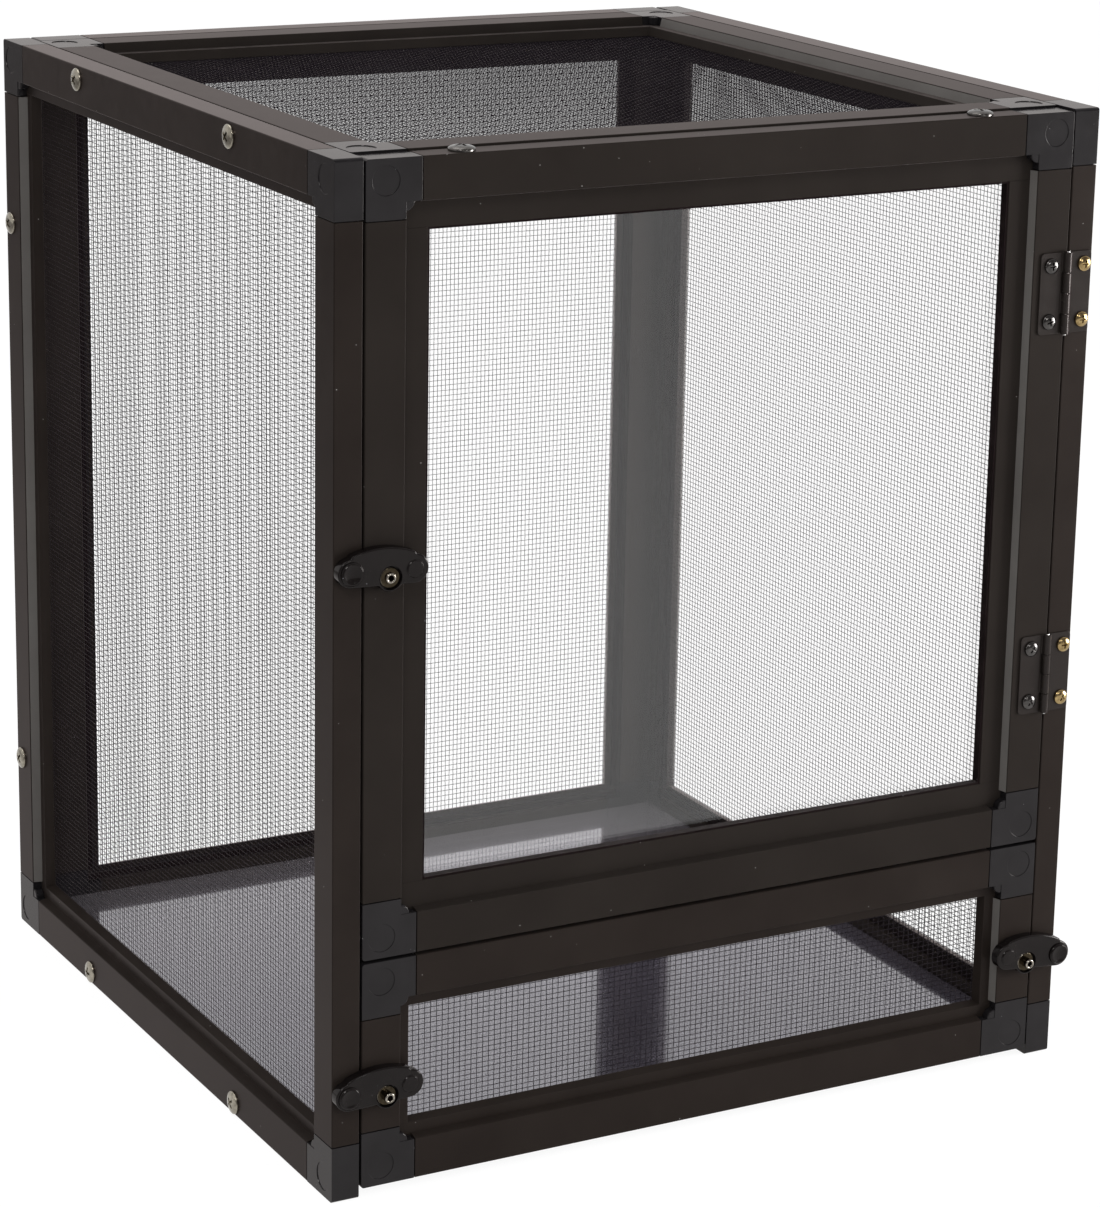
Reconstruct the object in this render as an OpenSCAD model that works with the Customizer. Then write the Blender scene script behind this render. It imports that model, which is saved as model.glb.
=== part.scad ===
// Upright reptile terrarium: a light cage of framed panels with screen on every side.
// The upper door carries a clear pane and swings on two hinges at the right.
// The lower door is a low screened panel that comes out forwards for cleaning.
// +Z is up, the doors face -Y, and the origin is on the ground below the middle of the cage.

/* [Cage] */
// Width across the side panels
cage_w = 422; // [360:1:600]
// Depth from the doors' faces to the back panel's face
cage_d = 422; // [360:1:600]
// Height to the top of the side panels
cage_h = 508; // [450:1:700]

/* [Panel frames] */
// Thickness of every framed panel
panel_t = 14.5; // [14:0.5:17]
// Width of the hollow bars, seen square to the panel
tube_w = 20.5; // [18:0.5:23]
// Wall of the hollow bars
tube_wall = 1.2; // [0.8:0.1:1.6]
// Step from a bar's outer face back to its lip
lip_step = 5.2; // [4:0.1:5.4]
// Thickness of the lip
lip_t = 5.2; // [4.6:0.1:5.4]
// Width of the lip round a screen
screen_lip = 6.8; // [6:0.1:7.8]
// Width of the lip round the pane
pane_lip = 13.6; // [10:0.1:16]
// Gap between two panels that stand still
panel_seam = 0.7; // [0.4:0.1:0.9]

/* [Corner connectors] */
// Length of a connector's arms along the panel's edges
corner_w = 28.5; // [26:0.5:32]
// Radius of the outer corner
corner_r = 2.5; // [1:0.5:4]
// Radius of the round nub at the inner corner
nub_r = 4.5; // [3:0.5:5]
// Length of the legs inside the bars
leg_l = 20; // [12:1:30]
// Room round each leg
leg_fit = 0.15; // [0.05:0.05:0.3]
// Radius of the shallow round mark on each connector
mark_r = 7; // [4:0.5:8]
// Depth of that mark
mark_deep = 0.4; // [0.2:0.1:0.6]

/* [Screens] */
// Thickness of a screen
screen_t = 0.6; // [0.4:0.1:1]
// Width of a strand
strand_w = 1.2; // [0.8:0.1:2]
// Gaps across a side or back screen
wall_gaps_x = 9; // [6:1:12]
// Gaps up a side or back screen
wall_gaps_y = 11; // [8:1:14]
// Gaps each way in the top screen
top_gaps = 9; // [6:1:12]
// Gaps across the lower door's screen
lower_gaps_x = 18; // [10:1:24]
// Gaps up the lower door's screen
lower_gaps_y = 3; // [2:1:5]
// Distance from the bar to the groove that holds the screen
groove_in = 0.6; // [0.4:0.1:1]
// Width of that groove
groove_w = 3.6; // [3:0.1:4]
// Depth of that groove
groove_d = 3.8; // [3:0.1:4]
// How far the strip in the groove stands out
spline_out = 0.8; // [0.4:0.1:1.2]
// Room beside the strip
spline_fit = 0.1; // [0.05:0.05:0.2]

/* [Floor] */
// Thickness of the floor frame
floor_t = 13; // [12:0.5:16]
// Thickness of the sheet on the floor frame
sheet_t = 1.5; // [1:0.25:3]
// Gap round the sheet
sheet_gap = 0.4; // [0.3:0.1:0.8]

/* [Doors] */
// Height of the lower door's bottom edge above the ground
lower_z = 4.5; // [2:0.5:10]
// Height of the lower door
lower_h = 115.8; // [100:0.1:140]
// Gap between the two doors
door_gap = 1.7; // [1:0.1:3]
// How far the upper door's top edge lies below the side panels' top
door_drop = 1; // [0.5:0.1:2]
// Gap beside the doors at the upper door's latch
latch_side_gap = 1.2; // [0.8:0.1:2]
// Gap beside the doors at the hinges
hinge_side_gap = 0.7; // [0.5:0.1:1]
// Gap behind the doors
door_seam = 0.8; // [0.5:0.1:0.9]

/* [Pane] */
// Thickness of the clear pane
pane_t = 3; // [2:0.1:3.2]
// Gap between the pane's edge and the bars
pane_room = 1.5; // [1:0.1:3]
// Width of the seal along the lip's edge
seal_w = 1; // [0.6:0.1:2]
// How far the seal stays behind the lip's face
seal_back = 0.4; // [0.2:0.1:1]
// Width of the bead that holds the pane from inside
bead_w = 6; // [4:0.5:9]
// Gap between the bead and the pane's edge
bead_gap = 0.2; // [0.1:0.1:0.4]

/* [Hinges] */
// Height of a hinge
hinge_h = 42; // [36:1:50]
// Distance from the upper door's ends to the middle of a hinge
hinge_end = 92; // [85:1:120]
// Distance of the hinge line from the cage's right side
hinge_in = 16.3; // [15.6:0.1:17]
// Knuckles on each hinge
knuckles = 4; // [2:1:6]
// Radius of the knuckles
knuckle_r = 2; // [1.8:0.1:2.2]
// End play between knuckles
knuckle_play = 0.3; // [0.2:0.1:0.5]
// Radius of the pin
pin_r = 1; // [0.8:0.1:1.2]
// Running room round the pin
pin_fit = 0.05; // [0.03:0.01:0.09]
// How far the pin's ends stand out
pin_out = 0.6; // [0.2:0.1:1]
// Thickness of the leaves
leaf_t = 1; // [0.8:0.1:1.2]
// Distance from the frame leaf's edge to the cage's right side
leaf_edge = 0.8; // [0.5:0.1:2]
// Gap between moving hinge parts and what they pass
hinge_clear = 0.35; // [0.3:0.05:0.5]

/* [Latches] */
// Distance of the two left studs from the cage's left side
stud_in = 26.7; // [25:0.1:29]
// Distance of the right stud from the cage's right side
right_stud_in = 21.1; // [20.5:0.1:26]
// Height of the upper door's stud above that door's bottom edge
main_stud_up = 189.9; // [150:0.1:230]
// Height of the lower door's left stud above that door's bottom edge
lower_stud_up = 48.7; // [40:0.1:70]
// Height of the lower door's right stud above that door's bottom edge
right_stud_up = 51.5; // [40:0.1:70]
// How far the upper door's latch is turned from level, in degrees
main_tilt = -4.5; // [-8:0.5:8]
// How far the lower door's right latch is turned from level, in degrees
right_tilt = 3; // [-8:0.5:8]
// Radius of the part of a stud that the latch turns on
stud_r = 2.65; // [2:0.05:3]
// How far a stud of the lower door stands out of it
stud_reach = 9.2; // [7:0.1:11]
// How far the upper door's stud stands out of it
main_stud_reach = 6.5; // [5:0.1:9]
// Length of a stud's shank inside the door
stud_shank_l = 8; // [6:0.5:11]
// Radius of the hole in a stud's end
stud_bore_r = 1.35; // [0.8:0.05:1.6]
// Radius of the flange that keeps the latch on
flange_r = 5.25; // [4.5:0.05:6]
// Thickness of the flange
flange_t = 1; // [0.6:0.1:1.2]
// Play of a latch between the door and the flange
flange_play = 0.1; // [0.05:0.05:0.3]
// Room round the flange in its pocket
flange_room = 0.6; // [0.4:0.1:1]
// Wall round that pocket
hub_rim = 0.8; // [0.6:0.1:1.2]
// Gap between the doors' faces and the latches
latch_clear = 0.4; // [0.3:0.1:0.6]
// Thickness of a latch
latch_t = 5.5; // [4:0.1:6]
// Thickness of a latch under the flange
hub_t = 3.6; // [2:0.1:4]
// Running room round the stud
stud_fit = 0.05; // [0.03:0.01:0.09]
// Radius of a latch's top edge
crest_r = 45.8; // [38:0.2:60]
// Height of the top edge above the stud
crest_up = 14.8; // [12:0.1:16]
// How far the highest point lies from the stud, towards the thumb disc
crest_aside = 2; // [0:0.1:4]
// Distance from the stud to the end of the top edge, towards the thumb disc
crest_end = 20.8; // [17:0.1:21.2]
// Distance from the stud to the thumb disc over the side panel
thumb_out = 20.1; // [17:0.1:20.5]
// Height of the thumb disc's centre above the stud
thumb_up = 2.6; // [0:0.1:4]
// Radius of the latch round the thumb disc
thumb_end_r = 7; // [6.5:0.1:8]
// Radius of the thumb disc
thumb_r = 5.7; // [4.5:0.1:6.3]
// How far the thumb disc stands out of the latch
thumb_high = 1.5; // [1:0.1:3]
// Rim round the hollow in the thumb disc
dish_rim = 1; // [0.6:0.1:1.5]
// Distance from the stud to the tip's centre
tip_out = 12.2; // [12:0.1:16]
// Height of the tip's centre above the stud
tip_up = 4.2; // [2:0.1:5]
// Radius of the tip
tip_end_r = 7.2; // [6:0.1:8]
// Radius of the small disc at the tip
tip_disc_r = 4.5; // [3:0.1:5]
// How far the small disc stands out of the latch
tip_high = 0.8; // [0.6:0.1:2]

/* [Screws] */
// Radius of the panel screws' heads
panel_head_r = 6; // [5:0.5:7]
// Height of the panel screws' heads
panel_head_h = 2.5; // [2:0.1:3.5]
// Length of the panel screws
panel_screw_l = 20; // [17:0.5:24]
// Distance from the front to the first screw in a side's top and bottom
screw_front = 117; // [90:1:150]
// Distance from the back to the second screw in a side's top and bottom
screw_back = 109; // [90:1:150]
// Height of the lower screw in a side's rear edge
screw_low = 100; // [80:1:150]
// Distance from the cage's top to the upper screw in a side's rear edge
screw_high = 100; // [80:1:150]
// Radius of the panel screws' shanks
panel_shank_r = 2; // [1.5:0.1:2.2]
// Radius of the two screw heads on the upper door's top edge
top_head_r = 6.5; // [5:0.1:7]
// Height of these heads
top_head_h = 2.9; // [2:0.1:3.5]
// Length of these screws
top_screw_l = 10; // [6:0.5:14]
// Distance of these screws from the cage's sides
top_screw_in = 67.5; // [62:0.5:120]
// Radius of the hinge screws' heads
hinge_head_r = 4; // [3:0.1:4.4]
// Height of the hinge screws' heads
hinge_head_h = 2.2; // [1.5:0.1:2.6]
// Length of the hinge screws
hinge_screw_l = 10; // [6:0.5:12]
// Radius of the hinge screws' shanks
hinge_shank_r = 1.5; // [1:0.1:1.8]
// Distance between the two screws of a leaf
hinge_screw_gap = 28.6; // [20:0.1:32]
// Distance of the frame leaf's screws from the cage's right side
frame_screw_in = 5.4; // [5:0.1:6.5]
// Distance of the door leaf's screws from the hinge line
door_screw_out = 9.2; // [8:0.1:11]
// Room round every shank in the bars that it passes
shank_room = 0.2; // [0.1:0.05:0.4]
// Width of the cross in a screw head
cross_w = 1.1; // [0.8:0.1:1.4]
// Depth of the cross in a screw head
cross_deep = 1; // [0.5:0.1:1.2]

/* [Hidden] */
$fn = 48;
cut = 1;
black_bar = [0.20, 0.19, 0.18];
black_plastic = [0.12, 0.12, 0.13];
black_wire = [0.10, 0.10, 0.10];
seal_black = [0.07, 0.07, 0.07];
clear_pane = [0.80, 0.85, 0.88, 0.35];
floor_lilac = [0.66, 0.63, 0.68];
bronze_steel = [0.50, 0.46, 0.40];
yellow_brass = [0.72, 0.60, 0.35];
front_y = -(cage_d - stud_reach) / 2;
back_y = front_y + cage_d;
side_x = cage_w / 2;
inner_w = cage_w - 2 * (panel_t + panel_seam);
inner_d = cage_d - 2 * panel_t - door_seam - panel_seam;
lip_in = panel_t - lip_step - lip_t;
tube_inset = tube_wall + leg_fit;
main_z = lower_z + lower_h + door_gap;
main_h = cage_h - door_drop - main_z;
door_w = cage_w - 2 * panel_t - latch_side_gap - hinge_side_gap;
door_x = -side_x + panel_t + latch_side_gap;
pane_edge = tube_w + pane_room;
groove_end = tube_w + groove_in + groove_w;
screen_edge = groove_end + spline_fit + 0.2;
hinge_x = side_x - hinge_in;
hinge_y = front_y - knuckle_r - hinge_clear;
hinge_feet = [main_z + hinge_end - hinge_h / 2, main_z + main_h - hinge_end - hinge_h / 2];
leaf_face = knuckle_r + hinge_clear;
leaf_start = knuckle_r + hinge_clear;
knuckle_pitch = (hinge_h + knuckle_play) / knuckles;
knuckle_h = knuckle_pitch - knuckle_play;
hinge_screw_ups = [(hinge_h - hinge_screw_gap) / 2, (hinge_h + hinge_screw_gap) / 2];
left_stud_x = -side_x + stud_in;
right_stud_x = side_x - right_stud_in;
main_stud_z = main_z + main_stud_up;
left_stud_z = lower_z + lower_stud_up;
right_stud_z = lower_z + right_stud_up;
flange_z = latch_clear + hub_t + flange_play;
pocket_r = flange_r + flange_room;
head_rim = 0.35;

// Sections of the bars: across the bar from its outer edge, and up from the inner face.
module tube_section(t) {
    difference() {
        square([tube_w, t]);
        translate([tube_wall, tube_wall]) square([tube_w - 2 * tube_wall, t - 2 * tube_wall]);
    }
}

module lip_section(lip, grooved) {
    difference() {
        translate([tube_w, lip_in]) square([lip, lip_t]);
        if (grooved) translate([tube_w + groove_in, lip_in - cut]) square([groove_w, groove_d + cut]);
    }
}

module along_x(from, to) {
    translate([from, 0, 0]) rotate([90, 0, 90]) linear_extrude(to - from) children();
}

module along_y(from, to) {
    translate([0, to, 0]) rotate([90, 0, 0]) linear_extrude(to - from) children();
}

// A panel lies flat here: X across, Y up the panel, Z from its inner face to its outer face.
module bottom_bar(w, lip, grooved) {
    along_x(corner_w, w - corner_w) tube_section(panel_t);
    along_x(tube_w, w - tube_w) lip_section(lip, grooved);
}

module top_bar(w, h, lip, grooved) {
    translate([0, h, 0]) mirror([0, 1, 0]) bottom_bar(w, lip, grooved);
}

module left_bar(h, lip, grooved) {
    along_y(corner_w, h - corner_w) tube_section(panel_t);
    along_y(tube_w + lip, h - tube_w - lip) lip_section(lip, grooved);
}

module right_bar(w, h, lip, grooved) {
    translate([w, 0, 0]) mirror([1, 0, 0]) left_bar(h, lip, grooved);
}

module corner_outline() {
    translate([corner_r, 0]) square([corner_w - corner_r, tube_w]);
    translate([0, corner_r]) square([tube_w, corner_w - corner_r]);
    translate([corner_r, corner_r]) circle(corner_r);
}

module corner_leg(t) {
    translate([corner_w - cut, tube_inset, tube_inset])
        cube([leg_l + cut, tube_w - 2 * tube_inset, t - 2 * tube_inset]);
}

module corner_piece(t, nub) {
    difference() {
        union() {
            linear_extrude(t) corner_outline();
            if (nub) translate([tube_w, tube_w, t - lip_step]) cylinder(r = nub_r, h = lip_step);
            corner_leg(t);
            mirror([1, -1, 0]) corner_leg(t);
        }
        translate([tube_w / 2, tube_w / 2, t - mark_deep]) cylinder(r = mark_r, h = mark_deep + cut);
    }
}

module four_corners(w, h, t, nub) {
    for (right = [0, 1]) for (up = [0, 1])
        translate([right * w, up * h, 0]) mirror([right, 0, 0]) mirror([0, up, 0])
            corner_piece(t, nub);
}

// The screen's outer edge lies on the rib inside the groove, and its gaps fill the opening.
module screen(w, h, gaps_x, gaps_y) {
    opening = tube_w + screen_lip;
    pitch_x = (w - 2 * opening + strand_w) / gaps_x;
    pitch_y = (h - 2 * opening + strand_w) / gaps_y;
    translate([0, 0, lip_in - screen_t]) linear_extrude(screen_t) difference() {
        translate([screen_edge, screen_edge]) square([w - 2 * screen_edge, h - 2 * screen_edge]);
        for (i = [0 : gaps_x - 1]) for (j = [0 : gaps_y - 1])
            translate([opening + i * pitch_x, opening + j * pitch_y])
                square([pitch_x - strand_w, pitch_y - strand_w]);
    }
}

module spline_section() {
    translate([tube_w + groove_in + spline_fit, lip_in - spline_out])
        square([groove_w - 2 * spline_fit, groove_d + spline_out]);
}

// Two strips lie in the rails' grooves, and two shorter ones in the stiles' grooves.
module splines(w, h) {
    for (up = [0, 1]) translate([0, up * h, 0]) mirror([0, up, 0])
        along_x(tube_w + groove_in, w - tube_w - groove_in) spline_section();
    for (right = [0, 1]) translate([right * w, 0, 0]) mirror([right, 0, 0])
        along_y(tube_w + screen_lip, h - tube_w - screen_lip) spline_section();
}

module ring(w, h, from, to) {
    difference() {
        translate([from, from]) square([w - 2 * from, h - 2 * from]);
        translate([to, to]) square([w - 2 * to, h - 2 * to]);
    }
}

// Screws point their heads along +Z and sit at z = 0.
function dome_r(head_r, rise) = (head_r * head_r + rise * rise) / (2 * rise);

module screw(head_r, head_h, shank_r, length) {
    dome = dome_r(head_r, head_h * (1 - head_rim));
    difference() {
        intersection() {
            cylinder(r = head_r, h = head_h);
            translate([0, 0, head_h - dome]) sphere(dome);
        }
        for (turn = [0, 90]) rotate(turn)
            translate([-head_r / 2, -cross_w / 2, head_h - cross_deep])
                cube([head_r, cross_w, cross_deep + cut]);
    }
    translate([0, 0, -length]) cylinder(r = shank_r, h = length + cut / 2);
}

module shank_space(shank_r, length) {
    translate([0, 0, -length - cut]) cylinder(r = shank_r + shank_room, h = length + 2 * cut);
}

// Places of the panels in the cage.
module on_left_side() {
    translate([-side_x + panel_t, back_y, 0]) rotate([90, 0, -90]) children();
}

module on_right_side() {
    mirror([1, 0, 0]) on_left_side() children();
}

module on_back() {
    translate([inner_w / 2, back_y - panel_t, 0]) rotate([90, 0, 180]) children();
}

module on_top() {
    translate([-inner_w / 2, front_y + panel_t + door_seam, cage_h - panel_t]) children();
}

module on_floor() {
    translate([-inner_w / 2, front_y + panel_t + door_seam, 0]) children();
}

module on_main_door() {
    translate([door_x, front_y + panel_t, main_z]) rotate([90, 0, 0]) children();
}

module on_lower_door() {
    translate([door_x, front_y + panel_t, lower_z]) rotate([90, 0, 0]) children();
}

// Places of the screws and studs, each with +Z pointing out of the face it sits on.
module at_panel_screws() {
    for (right = [0, 1]) mirror([right, 0, 0]) {
        for (z = [floor_t / 2, cage_h - panel_t / 2]) {
            translate([-side_x, front_y + screw_front, z]) rotate([0, -90, 0]) children();
            translate([-side_x, back_y - screw_back, z]) rotate([0, -90, 0]) children();
        }
        for (z = [screw_low, cage_h - screw_high])
            translate([-side_x, back_y - panel_t / 2, z]) rotate([0, -90, 0]) children();
    }
}

module at_top_screws() {
    for (side = [-1, 1])
        translate([side * (side_x - top_screw_in), front_y + panel_t / 2, main_z + main_h]) children();
}

module at_hinge_screws(x) {
    for (foot = hinge_feet) for (up = hinge_screw_ups)
        translate([x, front_y - leaf_t, foot + up]) rotate([90, 0, 0]) children();
}

module at_stud(x, z) {
    translate([x, front_y, z]) rotate([90, 0, 0]) children();
}

module panel_screw_spaces() {
    at_panel_screws() shank_space(panel_shank_r, panel_screw_l);
}

module hinge_screw_spaces() {
    at_hinge_screws(side_x - frame_screw_in) shank_space(hinge_shank_r, hinge_screw_l);
    at_hinge_screws(hinge_x - door_screw_out) shank_space(hinge_shank_r, hinge_screw_l);
}

module top_screw_spaces() {
    at_top_screws() shank_space(panel_shank_r, top_screw_l);
}

module stud_shank_space(x, z) {
    at_stud(x, z) shank_space(panel_shank_r, stud_shank_l);
}

// A hinge leaf: the axis is the Z axis, and the leaf reaches towards +X.
module hinge_leaf(reach, first, screw_at) {
    difference() {
        union() {
            translate([leaf_start, leaf_face - leaf_t, 0]) cube([reach - leaf_start, leaf_t, hinge_h]);
            for (i = [first : 2 : knuckles - 1]) translate([0, 0, i * knuckle_pitch]) {
                cylinder(r = knuckle_r, h = knuckle_h);
                translate([0, knuckle_r - leaf_t, 0]) cube([leaf_start + leaf_t, leaf_t, knuckle_h]);
            }
        }
        translate([0, 0, -cut]) cylinder(r = pin_r + pin_fit, h = hinge_h + 2 * cut);
        for (up = hinge_screw_ups) translate([screw_at, 0, up]) rotate([90, 0, 0])
            translate([0, 0, -leaf_face - cut]) cylinder(r = hinge_shank_r + shank_room, h = leaf_face + cut);
    }
}

module frame_leaf(foot) {
    color(bronze_steel) translate([hinge_x, hinge_y, foot])
        hinge_leaf(hinge_in - leaf_edge, 0, hinge_in - frame_screw_in);
}

module door_leaf(foot) {
    color(black_bar) translate([hinge_x, hinge_y, foot]) mirror([1, 0, 0])
        hinge_leaf(hinge_in - leaf_edge, 1, door_screw_out);
}

// A latch lies over the door and the side panel: the stud is at the origin, the thumb disc at -X.
module latch_outline() {
    translate([-thumb_out, thumb_up]) circle(thumb_end_r);
    translate([tip_out, tip_up]) circle(tip_end_r);
    circle(pocket_r + hub_rim);
    intersection() {
        translate([-crest_aside, crest_up - crest_r]) circle(crest_r, $fn = 120);
        polygon([
            [-thumb_out, thumb_up - thumb_end_r],
            [tip_out, tip_up - tip_end_r],
            [tip_out, crest_up + cut],
            [-crest_end, crest_up + cut],
            [-crest_end, thumb_up]
        ]);
    }
}

module latch() {
    front = latch_clear + latch_t;
    thumb_face = front + thumb_high;
    dish_deep = thumb_high / 2;
    dish_r = dome_r(thumb_r - dish_rim, dish_deep);
    difference() {
        union() {
            translate([0, 0, latch_clear]) linear_extrude(latch_t) latch_outline();
            translate([-thumb_out, thumb_up, front - cut]) cylinder(r = thumb_r, h = thumb_high + cut);
            translate([tip_out, tip_up, front - cut]) cylinder(r = tip_disc_r, h = tip_high + cut);
        }
        translate([0, 0, latch_clear - cut]) cylinder(r = stud_r + stud_fit, h = latch_t + 2 * cut);
        translate([0, 0, latch_clear + hub_t]) cylinder(r = pocket_r, h = latch_t);
        translate([-thumb_out, thumb_up, thumb_face - dish_deep + dish_r]) sphere(dish_r);
    }
}

module stud(reach) {
    difference() {
        union() {
            cylinder(r = stud_r, h = reach);
            translate([0, 0, flange_z]) cylinder(r = flange_r, h = flange_t);
            translate([0, 0, -stud_shank_l]) cylinder(r = panel_shank_r, h = stud_shank_l + cut / 2);
        }
        translate([0, 0, reach / 2]) cylinder(r = stud_bore_r, h = reach);
    }
}

// Left side panel
module left_top_rail() {
    color(black_bar) difference() {
        on_left_side() top_bar(cage_d, cage_h, screen_lip, true);
        panel_screw_spaces();
    }
}

module left_bottom_rail() {
    color(black_bar) difference() {
        on_left_side() bottom_bar(cage_d, screen_lip, true);
        panel_screw_spaces();
    }
}

module left_front_stile() {
    color(black_bar) on_left_side() right_bar(cage_d, cage_h, screen_lip, true);
}

module left_rear_stile() {
    color(black_bar) difference() {
        on_left_side() left_bar(cage_h, screen_lip, true);
        panel_screw_spaces();
    }
}

module left_corners() {
    color(black_plastic) on_left_side() four_corners(cage_d, cage_h, panel_t, true);
}

module left_screen() {
    color(black_wire) on_left_side() screen(cage_d, cage_h, wall_gaps_x, wall_gaps_y);
}

// Right side panel
module right_top_rail() {
    color(black_bar) mirror([1, 0, 0]) left_top_rail();
}

module right_bottom_rail() {
    color(black_bar) mirror([1, 0, 0]) left_bottom_rail();
}

module right_front_stile() {
    color(black_bar) difference() {
        mirror([1, 0, 0]) left_front_stile();
        hinge_screw_spaces();
    }
}

module right_rear_stile() {
    color(black_bar) mirror([1, 0, 0]) left_rear_stile();
}

module right_corners() {
    color(black_plastic) mirror([1, 0, 0]) left_corners();
}

module right_screen() {
    color(black_wire) mirror([1, 0, 0]) left_screen();
}

// Back panel
module back_top_rail() {
    color(black_bar) on_back() top_bar(inner_w, cage_h, screen_lip, true);
}

module back_bottom_rail() {
    color(black_bar) on_back() bottom_bar(inner_w, screen_lip, true);
}

module back_right_stile() {
    color(black_bar) difference() {
        on_back() left_bar(cage_h, screen_lip, true);
        panel_screw_spaces();
    }
}

module back_left_stile() {
    color(black_bar) mirror([1, 0, 0]) back_right_stile();
}

module back_corners() {
    color(black_plastic) on_back() four_corners(inner_w, cage_h, panel_t, true);
}

module back_screen() {
    color(black_wire) on_back() screen(inner_w, cage_h, wall_gaps_x, wall_gaps_y);
}

// Top panel
module top_front_rail() {
    color(black_bar) on_top() bottom_bar(inner_w, screen_lip, true);
}

module top_rear_rail() {
    color(black_bar) on_top() top_bar(inner_w, inner_d, screen_lip, true);
}

module top_left_rail() {
    color(black_bar) difference() {
        on_top() left_bar(inner_d, screen_lip, true);
        panel_screw_spaces();
    }
}

module top_right_rail() {
    color(black_bar) mirror([1, 0, 0]) top_left_rail();
}

module top_corners() {
    color(black_plastic) on_top() four_corners(inner_w, inner_d, panel_t, true);
}

module top_screen() {
    color(black_wire) on_top() screen(inner_w, inner_d, top_gaps, top_gaps);
}

// Floor
module floor_front_bar() {
    color(black_bar) on_floor() along_x(corner_w, inner_w - corner_w) tube_section(floor_t);
}

module floor_rear_bar() {
    color(black_bar) on_floor() translate([0, inner_d, 0]) mirror([0, 1, 0])
        along_x(corner_w, inner_w - corner_w) tube_section(floor_t);
}

module floor_left_bar() {
    color(black_bar) difference() {
        on_floor() along_y(corner_w, inner_d - corner_w) tube_section(floor_t);
        panel_screw_spaces();
    }
}

module floor_right_bar() {
    color(black_bar) mirror([1, 0, 0]) floor_left_bar();
}

module floor_corners() {
    color(black_plastic) on_floor() four_corners(inner_w, inner_d, floor_t, false);
}

module floor_sheet() {
    color(floor_lilac) on_floor() translate([sheet_gap, sheet_gap, floor_t])
        cube([inner_w - 2 * sheet_gap, inner_d - 2 * sheet_gap, sheet_t]);
}

// What holds the cage's screens and panels
module cage_splines() {
    color(seal_black) {
        on_left_side() splines(cage_d, cage_h);
        on_right_side() splines(cage_d, cage_h);
        on_back() splines(inner_w, cage_h);
        on_top() splines(inner_w, inner_d);
    }
}

module panel_screws() {
    color(bronze_steel) at_panel_screws()
        screw(panel_head_r, panel_head_h, panel_shank_r, panel_screw_l);
}

// Upper door
module door_top_rail() {
    color(black_bar) difference() {
        on_main_door() top_bar(door_w, main_h, pane_lip, false);
        top_screw_spaces();
    }
}

module door_bottom_rail() {
    color(black_bar) on_main_door() bottom_bar(door_w, pane_lip, false);
}

module door_latch_stile() {
    color(black_bar) difference() {
        on_main_door() left_bar(main_h, pane_lip, false);
        stud_shank_space(left_stud_x, main_stud_z);
    }
}

module door_hinge_stile() {
    color(black_bar) difference() {
        on_main_door() right_bar(door_w, main_h, pane_lip, false);
        hinge_screw_spaces();
    }
}

module door_corners() {
    color(black_plastic) difference() {
        on_main_door() four_corners(door_w, main_h, panel_t, true);
        top_screw_spaces();
    }
}

module door_pane() {
    color(clear_pane) on_main_door() translate([pane_edge, pane_edge, lip_in - pane_t])
        cube([door_w - 2 * pane_edge, main_h - 2 * pane_edge, pane_t]);
}

module pane_seal() {
    opening = tube_w + pane_lip;
    color(seal_black) on_main_door() {
        translate([0, 0, lip_in]) linear_extrude(lip_t - seal_back)
            ring(door_w, main_h, opening, opening + seal_w);
        linear_extrude(lip_in - pane_t) ring(door_w, main_h, tube_w, tube_w + bead_w);
        linear_extrude(lip_in) ring(door_w, main_h, tube_w, pane_edge - bead_gap);
    }
}

module door_top_screws() {
    color(bronze_steel) at_top_screws() screw(top_head_r, top_head_h, panel_shank_r, top_screw_l);
}

// Lower door
module lower_top_rail() {
    color(black_bar) on_lower_door() top_bar(door_w, lower_h, screen_lip, true);
}

module lower_bottom_rail() {
    color(black_bar) on_lower_door() bottom_bar(door_w, screen_lip, true);
}

module lower_left_stile() {
    color(black_bar) difference() {
        on_lower_door() left_bar(lower_h, screen_lip, true);
        stud_shank_space(left_stud_x, left_stud_z);
    }
}

module lower_right_stile() {
    color(black_bar) difference() {
        on_lower_door() right_bar(door_w, lower_h, screen_lip, true);
        stud_shank_space(right_stud_x, right_stud_z);
    }
}

module lower_corners() {
    color(black_plastic) difference() {
        on_lower_door() four_corners(door_w, lower_h, panel_t, true);
        stud_shank_space(left_stud_x, left_stud_z);
        stud_shank_space(right_stud_x, right_stud_z);
    }
}

module lower_screen() {
    color(black_wire) on_lower_door() screen(door_w, lower_h, lower_gaps_x, lower_gaps_y);
}

module lower_splines() {
    color(seal_black) on_lower_door() splines(door_w, lower_h);
}

// Hinges
module lower_hinge_frame_leaf() {
    frame_leaf(hinge_feet[0]);
}

module upper_hinge_frame_leaf() {
    frame_leaf(hinge_feet[1]);
}

module lower_hinge_door_leaf() {
    door_leaf(hinge_feet[0]);
}

module upper_hinge_door_leaf() {
    door_leaf(hinge_feet[1]);
}

module hinge_pins() {
    color(bronze_steel) for (foot = hinge_feet)
        translate([hinge_x, hinge_y, foot - pin_out]) cylinder(r = pin_r, h = hinge_h + 2 * pin_out);
}

module hinge_frame_screws() {
    color(yellow_brass) at_hinge_screws(side_x - frame_screw_in)
        screw(hinge_head_r, hinge_head_h, hinge_shank_r, hinge_screw_l);
}

module hinge_door_screws() {
    color(black_plastic) at_hinge_screws(hinge_x - door_screw_out)
        screw(hinge_head_r, hinge_head_h, hinge_shank_r, hinge_screw_l);
}

// Latches
module main_latch() {
    color(black_plastic) at_stud(left_stud_x, main_stud_z) rotate(main_tilt) latch();
}

module lower_left_latch() {
    color(black_plastic) at_stud(left_stud_x, left_stud_z) latch();
}

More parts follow.
